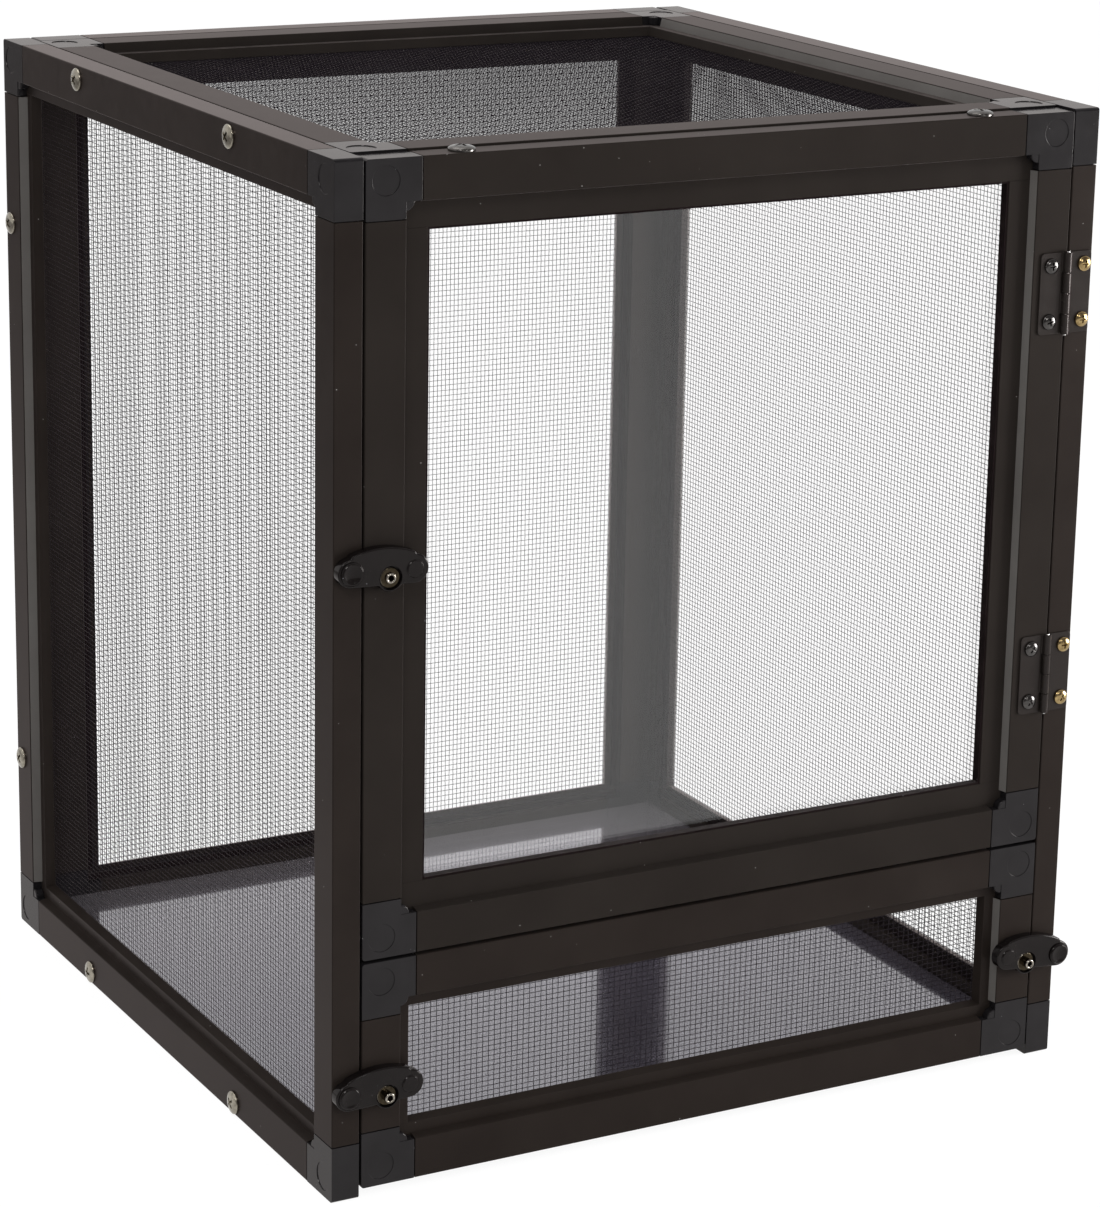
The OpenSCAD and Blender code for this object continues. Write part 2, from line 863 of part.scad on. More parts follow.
module lower_right_latch() {
    color(black_plastic) at_stud(right_stud_x, right_stud_z)
        mirror([1, 0, 0]) rotate(right_tilt) latch();
}

module main_latch_stud() {
    color(yellow_brass) at_stud(left_stud_x, main_stud_z) stud(main_stud_reach);
}

module lower_latch_studs() {
    color(yellow_brass) {
        at_stud(left_stud_x, left_stud_z) stud(stud_reach);
        at_stud(right_stud_x, right_stud_z) stud(stud_reach);
    }
}

left_top_rail();
left_bottom_rail();
left_front_stile();
left_rear_stile();
left_corners();
left_screen();
right_top_rail();
right_bottom_rail();
right_front_stile();
right_rear_stile();
right_corners();
right_screen();
back_top_rail();
back_bottom_rail();
back_left_stile();
back_right_stile();
back_corners();
back_screen();
top_front_rail();
top_rear_rail();
top_left_rail();
top_right_rail();
top_corners();
top_screen();
floor_front_bar();
floor_rear_bar();
floor_left_bar();
floor_right_bar();
floor_corners();
floor_sheet();
cage_splines();
panel_screws();
door_top_rail();
door_bottom_rail();
door_latch_stile();
door_hinge_stile();
door_corners();
door_pane();
pane_seal();
door_top_screws();
lower_top_rail();
lower_bottom_rail();
lower_left_stile();
lower_right_stile();
lower_corners();
lower_screen();
lower_splines();
upper_hinge_frame_leaf();
upper_hinge_door_leaf();
lower_hinge_frame_leaf();
lower_hinge_door_leaf();
hinge_pins();
hinge_frame_screws();
hinge_door_screws();
main_latch();
main_latch_stud();
lower_left_latch();
lower_right_latch();
lower_latch_studs();
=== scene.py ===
# %% [markdown]
# # A screened reptile terrarium
#
# The cage is a kit of flat panels. Each panel is a frame of hollow aluminium bars with plastic
# corner connectors, and it carries either a fine black screen or, in the upper door, a clear pane.
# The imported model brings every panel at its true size. This script dresses it: bars with rounded
# edges, real wires, moulded connectors, screws, hinges, latches and the finishes of each.

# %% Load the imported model
import math
import random

import bmesh
import bpy
import numpy as np
from mathutils import Matrix, Vector


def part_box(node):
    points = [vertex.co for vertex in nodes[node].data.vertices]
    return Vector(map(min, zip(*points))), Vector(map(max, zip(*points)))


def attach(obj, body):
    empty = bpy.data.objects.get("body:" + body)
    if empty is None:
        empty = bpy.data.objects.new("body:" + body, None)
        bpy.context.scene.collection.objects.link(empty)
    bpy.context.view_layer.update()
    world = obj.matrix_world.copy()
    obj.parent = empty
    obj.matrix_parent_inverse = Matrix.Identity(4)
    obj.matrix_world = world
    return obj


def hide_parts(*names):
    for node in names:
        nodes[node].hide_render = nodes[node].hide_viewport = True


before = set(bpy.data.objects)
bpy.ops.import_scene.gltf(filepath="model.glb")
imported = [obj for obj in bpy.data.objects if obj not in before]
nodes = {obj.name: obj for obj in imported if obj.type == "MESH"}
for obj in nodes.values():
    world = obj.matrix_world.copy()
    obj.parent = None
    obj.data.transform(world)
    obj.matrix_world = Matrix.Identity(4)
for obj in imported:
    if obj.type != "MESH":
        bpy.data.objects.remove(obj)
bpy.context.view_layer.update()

MM = 0.001
TO_METRES = Matrix.Scale(MM, 4)
scene = bpy.context.scene


def placed(name, data):
    """A new object in the scene."""
    made = bpy.data.objects.new(name, data)
    scene.collection.objects.link(made)
    return made


# %% [markdown]
# ## Sizes that the pieces share
#
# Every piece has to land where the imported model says, so the sizes are read from its boxes: the
# side panel gives the cage, and a floor bar and the floor's connectors give the width of a bar and
# the length of a connector's arm. Only the section of the bar, which no box shows, is written here.

# %% Sizes from the frame
side_low, side_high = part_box("left_corners")
cage_w = -2 * side_low[0] / MM
front_y = side_low[1] / MM
back_y = side_high[1] / MM
cage_h = side_high[2] / MM
panel_t = (side_high[0] - side_low[0]) / MM
floor_bar_low, floor_bar_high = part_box("floor_front_bar")
floor_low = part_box("floor_corners")[0]
tube_w = (floor_bar_high[1] - floor_bar_low[1]) / MM
corner_w = (floor_bar_low[0] - floor_low[0]) / MM
lip_step = 5.2
lip_t = 5.2
lip_in = panel_t - lip_step - lip_t
groove_in = 0.6
groove_w = 3.6
groove_d = 3.8
step_slant = 1.2
lip_slant = 1.6
print("cage %.1f x %.1f x %.1f mm, panel %.1f, bar %.1f, arm %.1f"
      % (cage_w, back_y - front_y, cage_h, panel_t, tube_w, corner_w))

# %% [markdown]
# ## The camera comes first
#
# The picture is matched by a camera whose place was worked out from the cage's own edges: where it
# stands round the cage, how far away, how long its lens is, and the small shift that the crop of the
# picture needs. Setting it before any piece lets every later piece be judged against the picture.

# %% Camera
PHOTO_W, PHOTO_H = 1100, 1207
FOCAL_PX = 3726.06
CENTRE_X_PX, CENTRE_Y_PX = 620.50, 518.51
SENSOR_MM = 36.0
camera_azimuth = math.radians(-29.647)
camera_elevation = math.radians(14.996)
camera_roll = math.radians(1.3233)
camera_distance = 2007.63
camera_aside = Vector((52.51, 13.63))
cage_middle = Vector((0.0, (front_y + back_y) / 2, cage_h / 2))


def camera_axes():
    """The camera's right, up and backward directions."""
    level = math.cos(camera_elevation)
    back = Vector((math.sin(camera_azimuth) * level, -math.cos(camera_azimuth) * level,
                   math.sin(camera_elevation)))
    right = (-back).cross(Vector((0, 0, 1))).normalized()
    up = back.cross(right)
    turn_c, turn_s = math.cos(camera_roll), math.sin(camera_roll)
    return right, up, turn_c * right + turn_s * up, -turn_s * right + turn_c * up, back


level_right, level_up, view_right, view_up, view_back = camera_axes()
camera_place = (cage_middle + view_back * camera_distance
                + level_right * camera_aside.x + level_up * camera_aside.y)
camera_data = bpy.data.cameras.new("camera")
camera_data.sensor_width = SENSOR_MM
camera_data.lens = FOCAL_PX * SENSOR_MM / PHOTO_H
camera_data.shift_x = (PHOTO_W / 2 - CENTRE_X_PX) / PHOTO_H
camera_data.shift_y = (CENTRE_Y_PX - PHOTO_H / 2) / PHOTO_H
camera_data.clip_end = 20
camera = placed("camera", camera_data)
turn = Matrix((view_right, view_up, view_back)).transposed().to_4x4()
camera.matrix_world = Matrix.Translation(camera_place * MM) @ turn
scene.camera = camera
print("lens %.1f mm, shift %.3f %.3f"
      % (camera_data.lens, camera_data.shift_x, camera_data.shift_y))

# %% [markdown]
# ## Panels as small workbenches
#
# Every panel is made flat on a bench, in millimetres: X runs across it, Y up it, and Z from its inner
# face to its outer face. A matrix then stands it up in the cage. Working on the bench means that one
# function makes the bars of all six panels, whichever way they face.

# %% Panels
SIDES = ("bottom", "top", "left", "right")


class Panel:
    """bars gives the last words of the bars' names, in the order of SIDES."""

    def __init__(self, name, body, width, height, origin, x_axis, y_axis, bars, lip):
        self.name = name
        self.body = body
        self.width = width
        self.height = height
        self.bars = {side: name + "_" + bar for side, bar in zip(SIDES, bars)}
        self.lip = lip
        across, up = Vector(x_axis), Vector(y_axis)
        turn = Matrix((across, up, across.cross(up))).transposed().to_4x4()
        self.bench = TO_METRES @ Matrix.Translation(Vector(origin)) @ turn


def size_mm(node):
    low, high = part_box(node)
    return [(b - a) / MM for a, b in zip(low, high)]


def low_mm(node):
    return [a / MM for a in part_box(node)[0]]


def high_mm(node):
    return [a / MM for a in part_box(node)[1]]


half_w = cage_w / 2
depth = back_y - front_y
back_w = size_mm("back_corners")[0]
top_d = size_mm("top_corners")[1]
door_w, _, door_h = size_mm("door_corners")
lower_h = size_mm("lower_corners")[2]
screen_lip = size_mm("left_bottom_rail")[2] - tube_w
pane_lip = size_mm("door_bottom_rail")[2] - tube_w

panels = [
    Panel("left", "cage", depth, cage_h, (-half_w + panel_t, back_y, 0), (0, -1, 0), (0, 0, 1),
          ("bottom_rail", "top_rail", "rear_stile", "front_stile"), screen_lip),
    Panel("right", "cage", depth, cage_h, (half_w - panel_t, front_y, 0), (0, 1, 0), (0, 0, 1),
          ("bottom_rail", "top_rail", "front_stile", "rear_stile"), screen_lip),
    Panel("back", "cage", back_w, cage_h, (back_w / 2, back_y - panel_t, 0), (-1, 0, 0), (0, 0, 1),
          ("bottom_rail", "top_rail", "right_stile", "left_stile"), screen_lip),
    Panel("top", "cage", back_w, top_d, low_mm("top_corners"), (1, 0, 0), (0, 1, 0),
          ("front_rail", "rear_rail", "left_rail", "right_rail"), screen_lip),
    Panel("door", "main_door", door_w, door_h,
          (low_mm("door_corners")[0], front_y + panel_t, low_mm("door_corners")[2]),
          (1, 0, 0), (0, 0, 1),
          ("bottom_rail", "top_rail", "latch_stile", "hinge_stile"), pane_lip),
    Panel("lower", "lower_door", door_w, lower_h,
          (low_mm("lower_corners")[0], front_y + panel_t, low_mm("lower_corners")[2]),
          (1, 0, 0), (0, 0, 1),
          ("bottom_rail", "top_rail", "left_stile", "right_stile"), screen_lip),
]
for panel in panels:
    print("%-6s %.1f x %.1f mm, lip %.1f" % (panel.name, panel.width, panel.height, panel.lip))

# %% [markdown]
# ## Finishes
#
# Nothing here is one flat colour. Powder-coated aluminium has a fine orange peel and a few pale
# specks of dust, moulded plastic is smoother and glossier with a faint ripple, and the wires are
# coated. Each is a small node tree: noise at the real scale of the mark drives colour, roughness and
# bump of a Principled shader, and a thin warm gloss lies on top. Object coordinates are in metres, so
# a scale of 1000 is a millimetre, and the pattern stays put when a door moves.

# %% Node helpers
NOISE_ROUGH = 0.55
NOISE_RANGE = (0.3, 0.7)
SPECK_CORE = 0.6
FULL_SHINE = 0.08


def new_material(name):
    material = bpy.data.materials.new(name)
    material.use_nodes = True
    tree = material.node_tree
    tree.nodes.clear()
    output = tree.nodes.new("ShaderNodeOutputMaterial")
    shader = tree.nodes.new("ShaderNodeBsdfPrincipled")
    tree.links.new(shader.outputs["BSDF"], output.inputs["Surface"])
    return material, tree, shader, output


def set_inputs(node, values):
    for name, value in values.items():
        node.inputs[name].default_value = value


def object_point(tree):
    return tree.nodes.new("ShaderNodeTexCoord").outputs["Object"]


def along_axis(tree, vector, axis):
    split = tree.nodes.new("ShaderNodeSeparateXYZ")
    tree.links.new(vector, split.inputs["Vector"])
    return split.outputs[axis]


def noise(tree, scale, detail):
    node = tree.nodes.new("ShaderNodeTexNoise")
    set_inputs(node, {"Scale": scale, "Detail": detail, "Roughness": NOISE_ROUGH})
    tree.links.new(object_point(tree), node.inputs["Vector"])
    return node.outputs["Fac"]


def spread(tree, value, low, high, new_low, new_high):
    """Maps value from low..high to new_low..new_high and clips it there."""
    node = tree.nodes.new("ShaderNodeMapRange")
    set_inputs(node, {"From Min": low, "From Max": high, "To Min": new_low, "To Max": new_high})
    tree.links.new(value, node.inputs["Value"])
    return node.outputs["Result"]


def cloudy(tree, scale, detail, low=0.0, high=1.0):
    """Noise, which mostly stays within a middle range, stretched to run from low to high."""
    return spread(tree, noise(tree, scale, detail), *NOISE_RANGE, low, high)


def arithmetic(tree, operation, first, second):
    """first is a socket, second a socket or a number."""
    node = tree.nodes.new("ShaderNodeMath")
    node.operation = operation
    tree.links.new(first, node.inputs[0])
    if isinstance(second, float):
        node.inputs[1].default_value = second
    else:
        tree.links.new(second, node.inputs[1])
    return node.outputs["Value"]


def blend_colours(tree, share, first, second):
    node = tree.nodes.new("ShaderNodeMix")
    node.data_type = "RGBA"
    for socket, colour in ((node.inputs[6], first), (node.inputs[7], second)):
        if isinstance(colour, tuple):
            socket.default_value = (*colour, 1.0)
        else:
            tree.links.new(colour, socket)
    tree.links.new(share, node.inputs["Factor"])
    return node.outputs[2]


def blend_shaders(tree, share, first, second, output):
    """The output shows first where share is 0 and second where it is 1."""
    mix = tree.nodes.new("ShaderNodeMixShader")
    for socket, source in zip(mix.inputs, (share, first, second)):
        tree.links.new(source, socket)
    tree.links.new(mix.outputs["Shader"], output.inputs["Surface"])


def paint(tree, shader, colour, roughness):
    tree.links.new(colour, shader.inputs["Base Color"])
    tree.links.new(roughness, shader.inputs["Roughness"])


def add_bump(tree, shader, heights):
    """heights: pairs of a value and the depth in metres that a change of 1 stands for."""
    normal = None
    for value, deep in heights:
        node = tree.nodes.new("ShaderNodeBump")
        set_inputs(node, {"Strength": 1.0, "Distance": deep})
        tree.links.new(value, node.inputs["Height"])
        if normal:
            tree.links.new(normal, node.inputs["Normal"])
        normal = node.outputs["Normal"]
    tree.links.new(normal, shader.inputs["Normal"])


def dust_specks(tree, scale, share):
    """1 in a few tiny spots and 0 elsewhere."""
    node = tree.nodes.new("ShaderNodeTexVoronoi")
    node.inputs["Scale"].default_value = scale
    tree.links.new(object_point(tree), node.inputs["Vector"])
    return spread(tree, node.outputs["Distance"], share * SPECK_CORE, share, 1.0, 0.0)


def add_gloss(tree, shader, output, colour, shine, strength):
    """A tinted gloss over the shader. shine sets it face on, strength scales it everywhere."""
    shader.inputs["Specular IOR Level"].default_value = 0.0
    gloss = tree.nodes.new("ShaderNodeBsdfGlossy")
    gloss.inputs["Color"].default_value = colour
    for name in ("Roughness", "Normal"):
        tree.links.new(shader.inputs[name].links[0].from_socket, gloss.inputs[name])
    edge = tree.nodes.new("ShaderNodeFresnel")
    facing = (FULL_SHINE * shine) ** 0.5
    edge.inputs["IOR"].default_value = (1 + facing) / (1 - facing)
    share = arithmetic(tree, "MULTIPLY", edge.outputs["Fac"], strength)
    blend_shaders(tree, share, shader.outputs["BSDF"], gloss.outputs["BSDF"], output)


# %% Coated aluminium, moulded plastic and wire
METAL_DUST, PLASTIC_DUST = (0.32, 0.31, 0.30), (0.30, 0.30, 0.32)
METAL_GLOSS, PLASTIC_GLOSS = (1.0, 0.90, 0.88, 1), (1.0, 0.95, 0.93, 1)


def coated_metal(name, dark, light, gloss, shine=0.12, strength=0.55):
    """dark and light are the ends of its colour, gloss those of its roughness."""
    material, tree, shader, output = new_material(name)
    colour = blend_colours(tree, cloudy(tree, 22, 4), dark, light)
    colour = blend_colours(tree, dust_specks(tree, 95, 0.028), colour, METAL_DUST)
    paint(tree, shader, colour, cloudy(tree, 160, 3, *gloss))
    add_bump(tree, shader, [(noise(tree, 1400, 2), 0.000012), (noise(tree, 35, 2), 0.00006)])
    add_gloss(tree, shader, output, METAL_GLOSS, shine, strength)
    return material


def moulded_plastic(name, dark, light, gloss, shine=0.32, strength=0.6):
    material, tree, shader, output = new_material(name)
    colour = blend_colours(tree, cloudy(tree, 60, 3), dark, light)
    colour = blend_colours(tree, dust_specks(tree, 140, 0.03), colour, PLASTIC_DUST)
    paint(tree, shader, colour, cloudy(tree, 240, 3, *gloss))
    add_bump(tree, shader, [(noise(tree, 900, 2), 0.00001), (noise(tree, 90, 2), 0.00008)])
    add_gloss(tree, shader, output, PLASTIC_GLOSS, shine, strength)
    return material


frame_black = coated_metal("frame_black", (0.013, 0.0100, 0.0085), (0.017, 0.0133, 0.0113),
                           (0.28, 0.38), 0.1)
frame_dull = coated_metal("frame_dull", (0.0150, 0.0124, 0.0108), (0.0184, 0.0153, 0.0133),
                          (0.35, 0.45), 0.07, 0.36)
# Painted light: a pale grey on the step walls of the stiles that stands in for the light they catch,
# not a colour of the coating.
step_wall_painted_sheen = coated_metal("step_wall_painted_sheen", (0.100, 0.094, 0.088), (0.120, 0.114, 0.107), (0.32, 0.42))
hinge_black = coated_metal("hinge_black", (0.010, 0.008, 0.007), (0.016, 0.0135, 0.012),
                           (0.18, 0.28), 0.3)
connector_black = moulded_plastic("connector_black", (0.008, 0.0074, 0.0080),
                                  (0.0115, 0.0107, 0.0115), (0.12, 0.2))
latch_black = moulded_plastic("latch_black", (0.0045, 0.0035, 0.0034), (0.0070, 0.0058, 0.0056),
                              (0.1, 0.18), 0.28)
seal_black = moulded_plastic("seal_black", (0.004, 0.002, 0.002), (0.008, 0.0045, 0.0048),
                             (0.5, 0.7), 0.05)
wire_black = coated_metal("wire_black", (0.006, 0.0045, 0.007), (0.010, 0.008, 0.011),
                          (0.45, 0.55), 0.05, 0.3)


# %% Bare metal of the screws and studs
def turned_metal(name, dark, light, gloss):
    material, tree, shader, _ = new_material(name)
    shader.inputs["Metallic"].default_value = 1.0
    colour = blend_colours(tree, cloudy(tree, 500, 4), dark, light)
    paint(tree, shader, colour, cloudy(tree, 900, 3, *gloss))
    add_bump(tree, shader, [(noise(tree, 1600, 3), 0.00002)])
    return material


bronze_screw = turned_metal("bronze_screw", (0.20, 0.18, 0.145), (0.36, 0.33, 0.27), (0.16, 0.28))
brass_screw = turned_metal("brass_screw", (0.22, 0.155, 0.07), (0.42, 0.31, 0.15), (0.14, 0.22))
pin_metal = turned_metal("pin_metal", (0.55, 0.54, 0.52), (0.80, 0.79, 0.77), (0.12, 0.2))
stud_metal = turned_metal("stud_metal", (0.20, 0.18, 0.15), (0.36, 0.33, 0.29), (0.1, 0.18))
dull_brass = turned_metal("dull_brass", (0.022, 0.017, 0.011), (0.055, 0.044, 0.028), (0.12, 0.2))
dark_screw = turned_metal("dark_screw", (0.07, 0.066, 0.062), (0.13, 0.122, 0.115), (0.18, 0.28))
black_screw = turned_metal("black_screw", (0.055, 0.052, 0.05), (0.10, 0.094, 0.09), (0.14, 0.22))


# %% The floor sheet and the clear pane
def floor_plastic():
    material, tree, shader, _ = new_material("floor_plastic")
    colour = blend_colours(tree, cloudy(tree, 14, 4), (0.050, 0.046, 0.056), (0.068, 0.063, 0.075))
    # Painted light: the sheet is made lighter towards the rear, where more light falls through the
    # back screen.
    rear = spread(tree, along_axis(tree, object_point(tree), "Y"), -0.02, 0.2, 0.0, 1.0)
    colour = blend_colours(tree, rear, colour, (0.165, 0.158, 0.160))
    paint(tree, shader, colour, cloudy(tree, 70, 3, 0.12, 0.18))
    set_inputs(shader, {"IOR": 1.9, "Specular Tint": (0.93, 0.90, 1.0, 1),
                        "Coat Tint": (0.97, 0.95, 1.0, 1), "Coat Weight": 1.0, "Coat IOR": 1.9,
                        "Coat Roughness": 0.05})
    add_bump(tree, shader, [(noise(tree, 9, 2), 0.0006)])
    return material


def clear_acrylic():
    """Clear glass for the eye, and open to the light of the lamps."""
    material, tree, shader, output = new_material("clear_acrylic")
    set_inputs(shader, {"Base Color": (0.985, 0.98, 0.985, 1), "Roughness": 0.01, "IOR": 1.49,
                        "Transmission Weight": 1.0})
    clear = tree.nodes.new("ShaderNodeBsdfTransparent")
    clear.inputs["Color"].default_value = (0.97, 0.965, 0.97, 1)
    path = tree.nodes.new("ShaderNodeLightPath")
    blend_shaders(tree, path.outputs["Is Shadow Ray"], shader.outputs["BSDF"],
                  clear.outputs["BSDF"], output)
    return material


lilac_floor = floor_plastic()
acrylic = clear_acrylic()
print("materials:", len(bpy.data.materials))


# %% [markdown]
# ## Making and placing meshes
#
# All the pieces go through the same few steps: a mesh on the bench, normals that point outwards, a
# smooth surface that breaks only at real edges, one material, and a ride on a body of the cage. Faces
# keep their flatness with a weighted-normal modifier, so only the rounded edges catch the light.

# %% Mesh helpers
def mesh_piece(name, bm, bench, material, body, replaced, angle=32):
    """Turns a bench mesh in mm into a finished piece in the cage."""
    bmesh.ops.transform(bm, matrix=bench, verts=bm.verts)
    bmesh.ops.recalc_face_normals(bm, faces=bm.faces)
    mesh = mesh_of(bm, name)
    mesh.shade_smooth()
    mesh.set_sharp_from_angle(angle=math.radians(angle))
    piece = placed(name, mesh)
    mesh.materials.append(material)
    soft = piece.modifiers.new("flat faces", "WEIGHTED_NORMAL")
    soft.keep_sharp = True
    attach(piece, body)
    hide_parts(*replaced)
    return piece


def mesh_of(bm, name):
    mesh = bpy.data.meshes.new(name)
    bm.to_mesh(mesh)
    bm.free()
    return mesh


def add_mesh(bm, mesh, matrix):
    """Adds a copy of the mesh, moved by the matrix."""
    before = len(bm.verts)
    bm.from_mesh(mesh)
    bm.verts.ensure_lookup_table()
    bmesh.ops.transform(bm, matrix=matrix, verts=bm.verts[before:])


def rounded(points, radii, steps=4):
    """The outline with each corner replaced by an arc of its radius."""
    outline = []
    count = len(points)
    for i, (point, radius) in enumerate(zip(points, radii)):
        here = Vector(point)
        before = Vector(points[i - 1]) - here
        after = Vector(points[(i + 1) % count]) - here
        if radius <= 0:
            outline.append(here)
            continue
        before.normalize()
        after.normalize()
        half = before.angle(after) / 2
        start = here + before * (radius / math.tan(half))
        end = here + after * (radius / math.tan(half))
        centre = here + (before + after).normalized() * (radius / math.sin(half))
        first = start - centre
        last = end - centre
        for k in range(steps + 1):
            share = k / steps
            blend = first.lerp(last, share).normalized() * radius
            outline.append(centre + blend)
    return outline


def skin(bm, low, high):
    """The faces between two rings of points."""
    for i in range(len(low)):
        j = (i + 1) % len(low)
        bm.faces.new((low[i], low[j], high[j], high[i]))


def extrude(bm, outline, start, end, place):
    """A closed bar of the outline. place turns (along, across, deep) into a point."""
    near = [bm.verts.new(place(start, p.x, p.y)) for p in outline]
    far = [bm.verts.new(place(end, p.x, p.y)) for p in outline]
    skin(bm, near, far)
    bm.faces.new(near)
    bm.faces.new(far)


def bar_place(side, width, height):
    """Where a bar's own directions lie on the panel's bench."""
    return {
        "bottom": lambda s, a, d: Vector((s, a, d)),
        "top": lambda s, a, d: Vector((s, height - a, d)),
        "left": lambda s, a, d: Vector((a, s, d)),
        "right": lambda s, a, d: Vector((width - a, s, d)),
    }[side]


# %% [markdown]
# ## The bars
#
# A bar is an aluminium extrusion: a hollow tube with a stepped lip on its inner side, and a groove
# behind the lip where a strip holds the screen. It could be a box with a bevel, but the light on the
# photograph's bars sits in the step and on the small radius of the edges. So the true section is
# drawn once, its corners are rounded, and it is pushed along each side of each panel.

# %% Bars
EDGE_R = 0.55
EDGE_FINE = 0.3
LIP_SINK = 0.5
STEP_TUCK = 1
BAR_GAP = 0.55
WALL_NEAR = 0.2


def tube_outline():
    step_foot = tube_w + step_slant
    lip_face = lip_in + lip_t
    tuck = lip_face - STEP_TUCK
    return rounded([(0, 0), (tube_w, 0), (tube_w, tuck), (step_foot, tuck),
                    (step_foot, lip_face), (tube_w, panel_t), (0, panel_t)],
                   [EDGE_R, EDGE_R, 0, 0, 0, EDGE_R, EDGE_R])


def lip_outline(lip, grooved):
    lip_end = tube_w + lip
    lip_face = lip_in + lip_t
    root = tube_w - LIP_SINK
    if not grooved:
        return rounded([(root, lip_in), (lip_end, lip_in), (lip_end, lip_face), (root, lip_face)],
                       [0, EDGE_FINE, EDGE_FINE, 0])
    lip_back = lip_end + lip_slant
    near = tube_w + groove_in
    far = near + groove_w
    floor = lip_in + groove_d
    points = [(root, lip_in), (near, lip_in), (near, floor), (far, floor), (far, lip_in),
              (lip_back, lip_in), (lip_end, lip_face), (root, lip_face)]
    return rounded(points, [0, 0, 0, 0, EDGE_FINE, EDGE_FINE, EDGE_FINE, 0])


def mark_step_wall_sheen(bm, panel, side):
    """Gives the wall between the face and the lip of a stile the second material, a pale painted
    sheen.
    """
    for face in bm.faces:
        middle = face.calc_center_median()
        across = middle.x if side == "left" else panel.width - middle.x
        if abs(across - tube_w - step_slant / 2) < WALL_NEAR and middle.z > lip_in + lip_t:
            face.material_index = 1


for panel in panels:
    grooved = panel.name != "door"
    for side, node in panel.bars.items():
        level = side in ("bottom", "top")
        length = panel.width if level else panel.height
        lip_start = tube_w if level else tube_w + panel.lip
        bm = bmesh.new()
        place = bar_place(side, panel.width, panel.height)
        extrude(bm, tube_outline(), corner_w + BAR_GAP, length - corner_w - BAR_GAP, place)
        extrude(bm, lip_outline(panel.lip, grooved), lip_start, length - lip_start, place)
        if not level:
            mark_step_wall_sheen(bm, panel, side)
        finish = frame_dull if panel.name in ("door", "top") else frame_black
        bar = mesh_piece("bar_" + node, bm, panel.bench, finish, panel.body, [node])
        # The step walls of the stiles take the pale painted sheen.
        if not level:
            bar.data.materials.append(step_wall_painted_sheen)
print("bars:", 4 * len(panels))

# %% [markdown]
# ## The corner connectors
#
# Each corner is one moulded L with a rounded outer edge, a small nub that fills the inner corner and
# a shallow round mark. Moulding leaves soft edges everywhere, so one connector is built with a bevel
# on all of them, and its mark is cut with a Boolean. The finished mesh is then copied to the four
# corners of every panel, turned over where the corner is mirrored.

# %% Connectors
CORNER_R = 1.6
NUB_R = 4.5
NUB_LOW = 0.3
MARK_R = 7.0
MARK_DEEP = 0.4
MOULD_R = 0.7
SEAM_R = 0.4
PLUG_IN = 1.2
PLUG_HALF = 1
CUT_PAST = 1
NUB_SINK = 0.02
BEVEL_ANGLE = 50


def object_of(bm, name):
    bmesh.ops.recalc_face_normals(bm, faces=bm.faces)
    return placed(name, mesh_of(bm, name))


def settled(made, *cutters):
    """The mesh with its modifiers applied, as a bmesh. The helper objects are removed."""
    graph = bpy.context.evaluated_depsgraph_get()
    bm = bmesh.new()
    bm.from_mesh(made.evaluated_get(graph).to_mesh())
    for helper in (made, *cutters):
        bpy.data.objects.remove(helper)
    return bm


def carve(made, cutter, name):
    """Cuts the cutter's shape out, once the mesh is settled."""
    cut = made.modifiers.new(name, "BOOLEAN")
    cut.object = cutter
    cut.operation = "DIFFERENCE"
    cut.solver = "EXACT"


def round_edges(made, width, segments=3):
    bevel = made.modifiers.new("soft edges", "BEVEL")
    bevel.width = width
    bevel.segments = segments
    bevel.limit_method = "ANGLE"
    bevel.angle_limit = math.radians(BEVEL_ANGLE)


def cylinder(bm, centre, radius, low, high, sides=48):
    ring = [Vector((centre[0] + radius * math.cos(2 * math.pi * i / sides),
                    centre[1] + radius * math.sin(2 * math.pi * i / sides))) for i in range(sides)]
    extrude(bm, ring, low, high, lambda s, a, d: Vector((a, d, s)))


def add_plugs(bm):
    """The roots of the two legs, which show as a dark line in the seam."""
    low, high, deep = PLUG_IN, tube_w - PLUG_IN, panel_t - PLUG_IN
    section = [Vector(p) for p in ((low, PLUG_IN), (high, PLUG_IN), (high, deep), (low, deep))]
    for place in (lambda s, a, d: Vector((s, a, d)), lambda s, a, d: Vector((a, s, d))):
        extrude(bm, section, corner_w - PLUG_HALF, corner_w + PLUG_HALF, place)


def connector():
    """One corner in mm, its outer corner at the origin and its arms along +X and +Y."""
    outline = rounded([(0, 0), (corner_w, 0), (corner_w, tube_w), (tube_w, tube_w),
                       (tube_w, corner_w), (0, corner_w)], [CORNER_R, 0, 0, 0, 0, 0], 6)
    bm = bmesh.new()
    extrude(bm, outline, 0, panel_t, lambda s, a, d: Vector((a, d, s)))
    body = object_of(bm, "connector body")
    mark = bmesh.new()
    cylinder(mark, (tube_w / 2, tube_w / 2), MARK_R, panel_t - MARK_DEEP, panel_t + CUT_PAST)
    cutter = object_of(mark, "mark cutter")
    carve(body, cutter, "mark")
    round_edges(body, SEAM_R, 2)
    whole = settled(body, cutter)
    add_plugs(whole)
    nub = bmesh.new()
    cylinder(nub, (tube_w, tube_w), NUB_R, panel_t - lip_step + NUB_SINK, panel_t - NUB_LOW, 40)
    rounder = object_of(nub, "nub")
    round_edges(rounder, MOULD_R)
    add_mesh(whole, mesh_of(settled(rounder), "nub"), Matrix())
    return mesh_of(whole, "connector")


corner_mesh = connector()
for panel in panels:
    bm = bmesh.new()
    for right in (0, 1):
        for up in (0, 1):
            flip = Matrix.Diagonal((1 - 2 * right, 1 - 2 * up, 1, 1))
            move = Matrix.Translation((right * panel.width, up * panel.height, 0))
            add_mesh(bm, corner_mesh, move @ flip)
    mesh_piece(panel.name + "_connectors", bm, panel.bench, connector_black, panel.body,
               [panel.name + "_corners"])
print("connector faces:", len(corner_mesh.polygons))

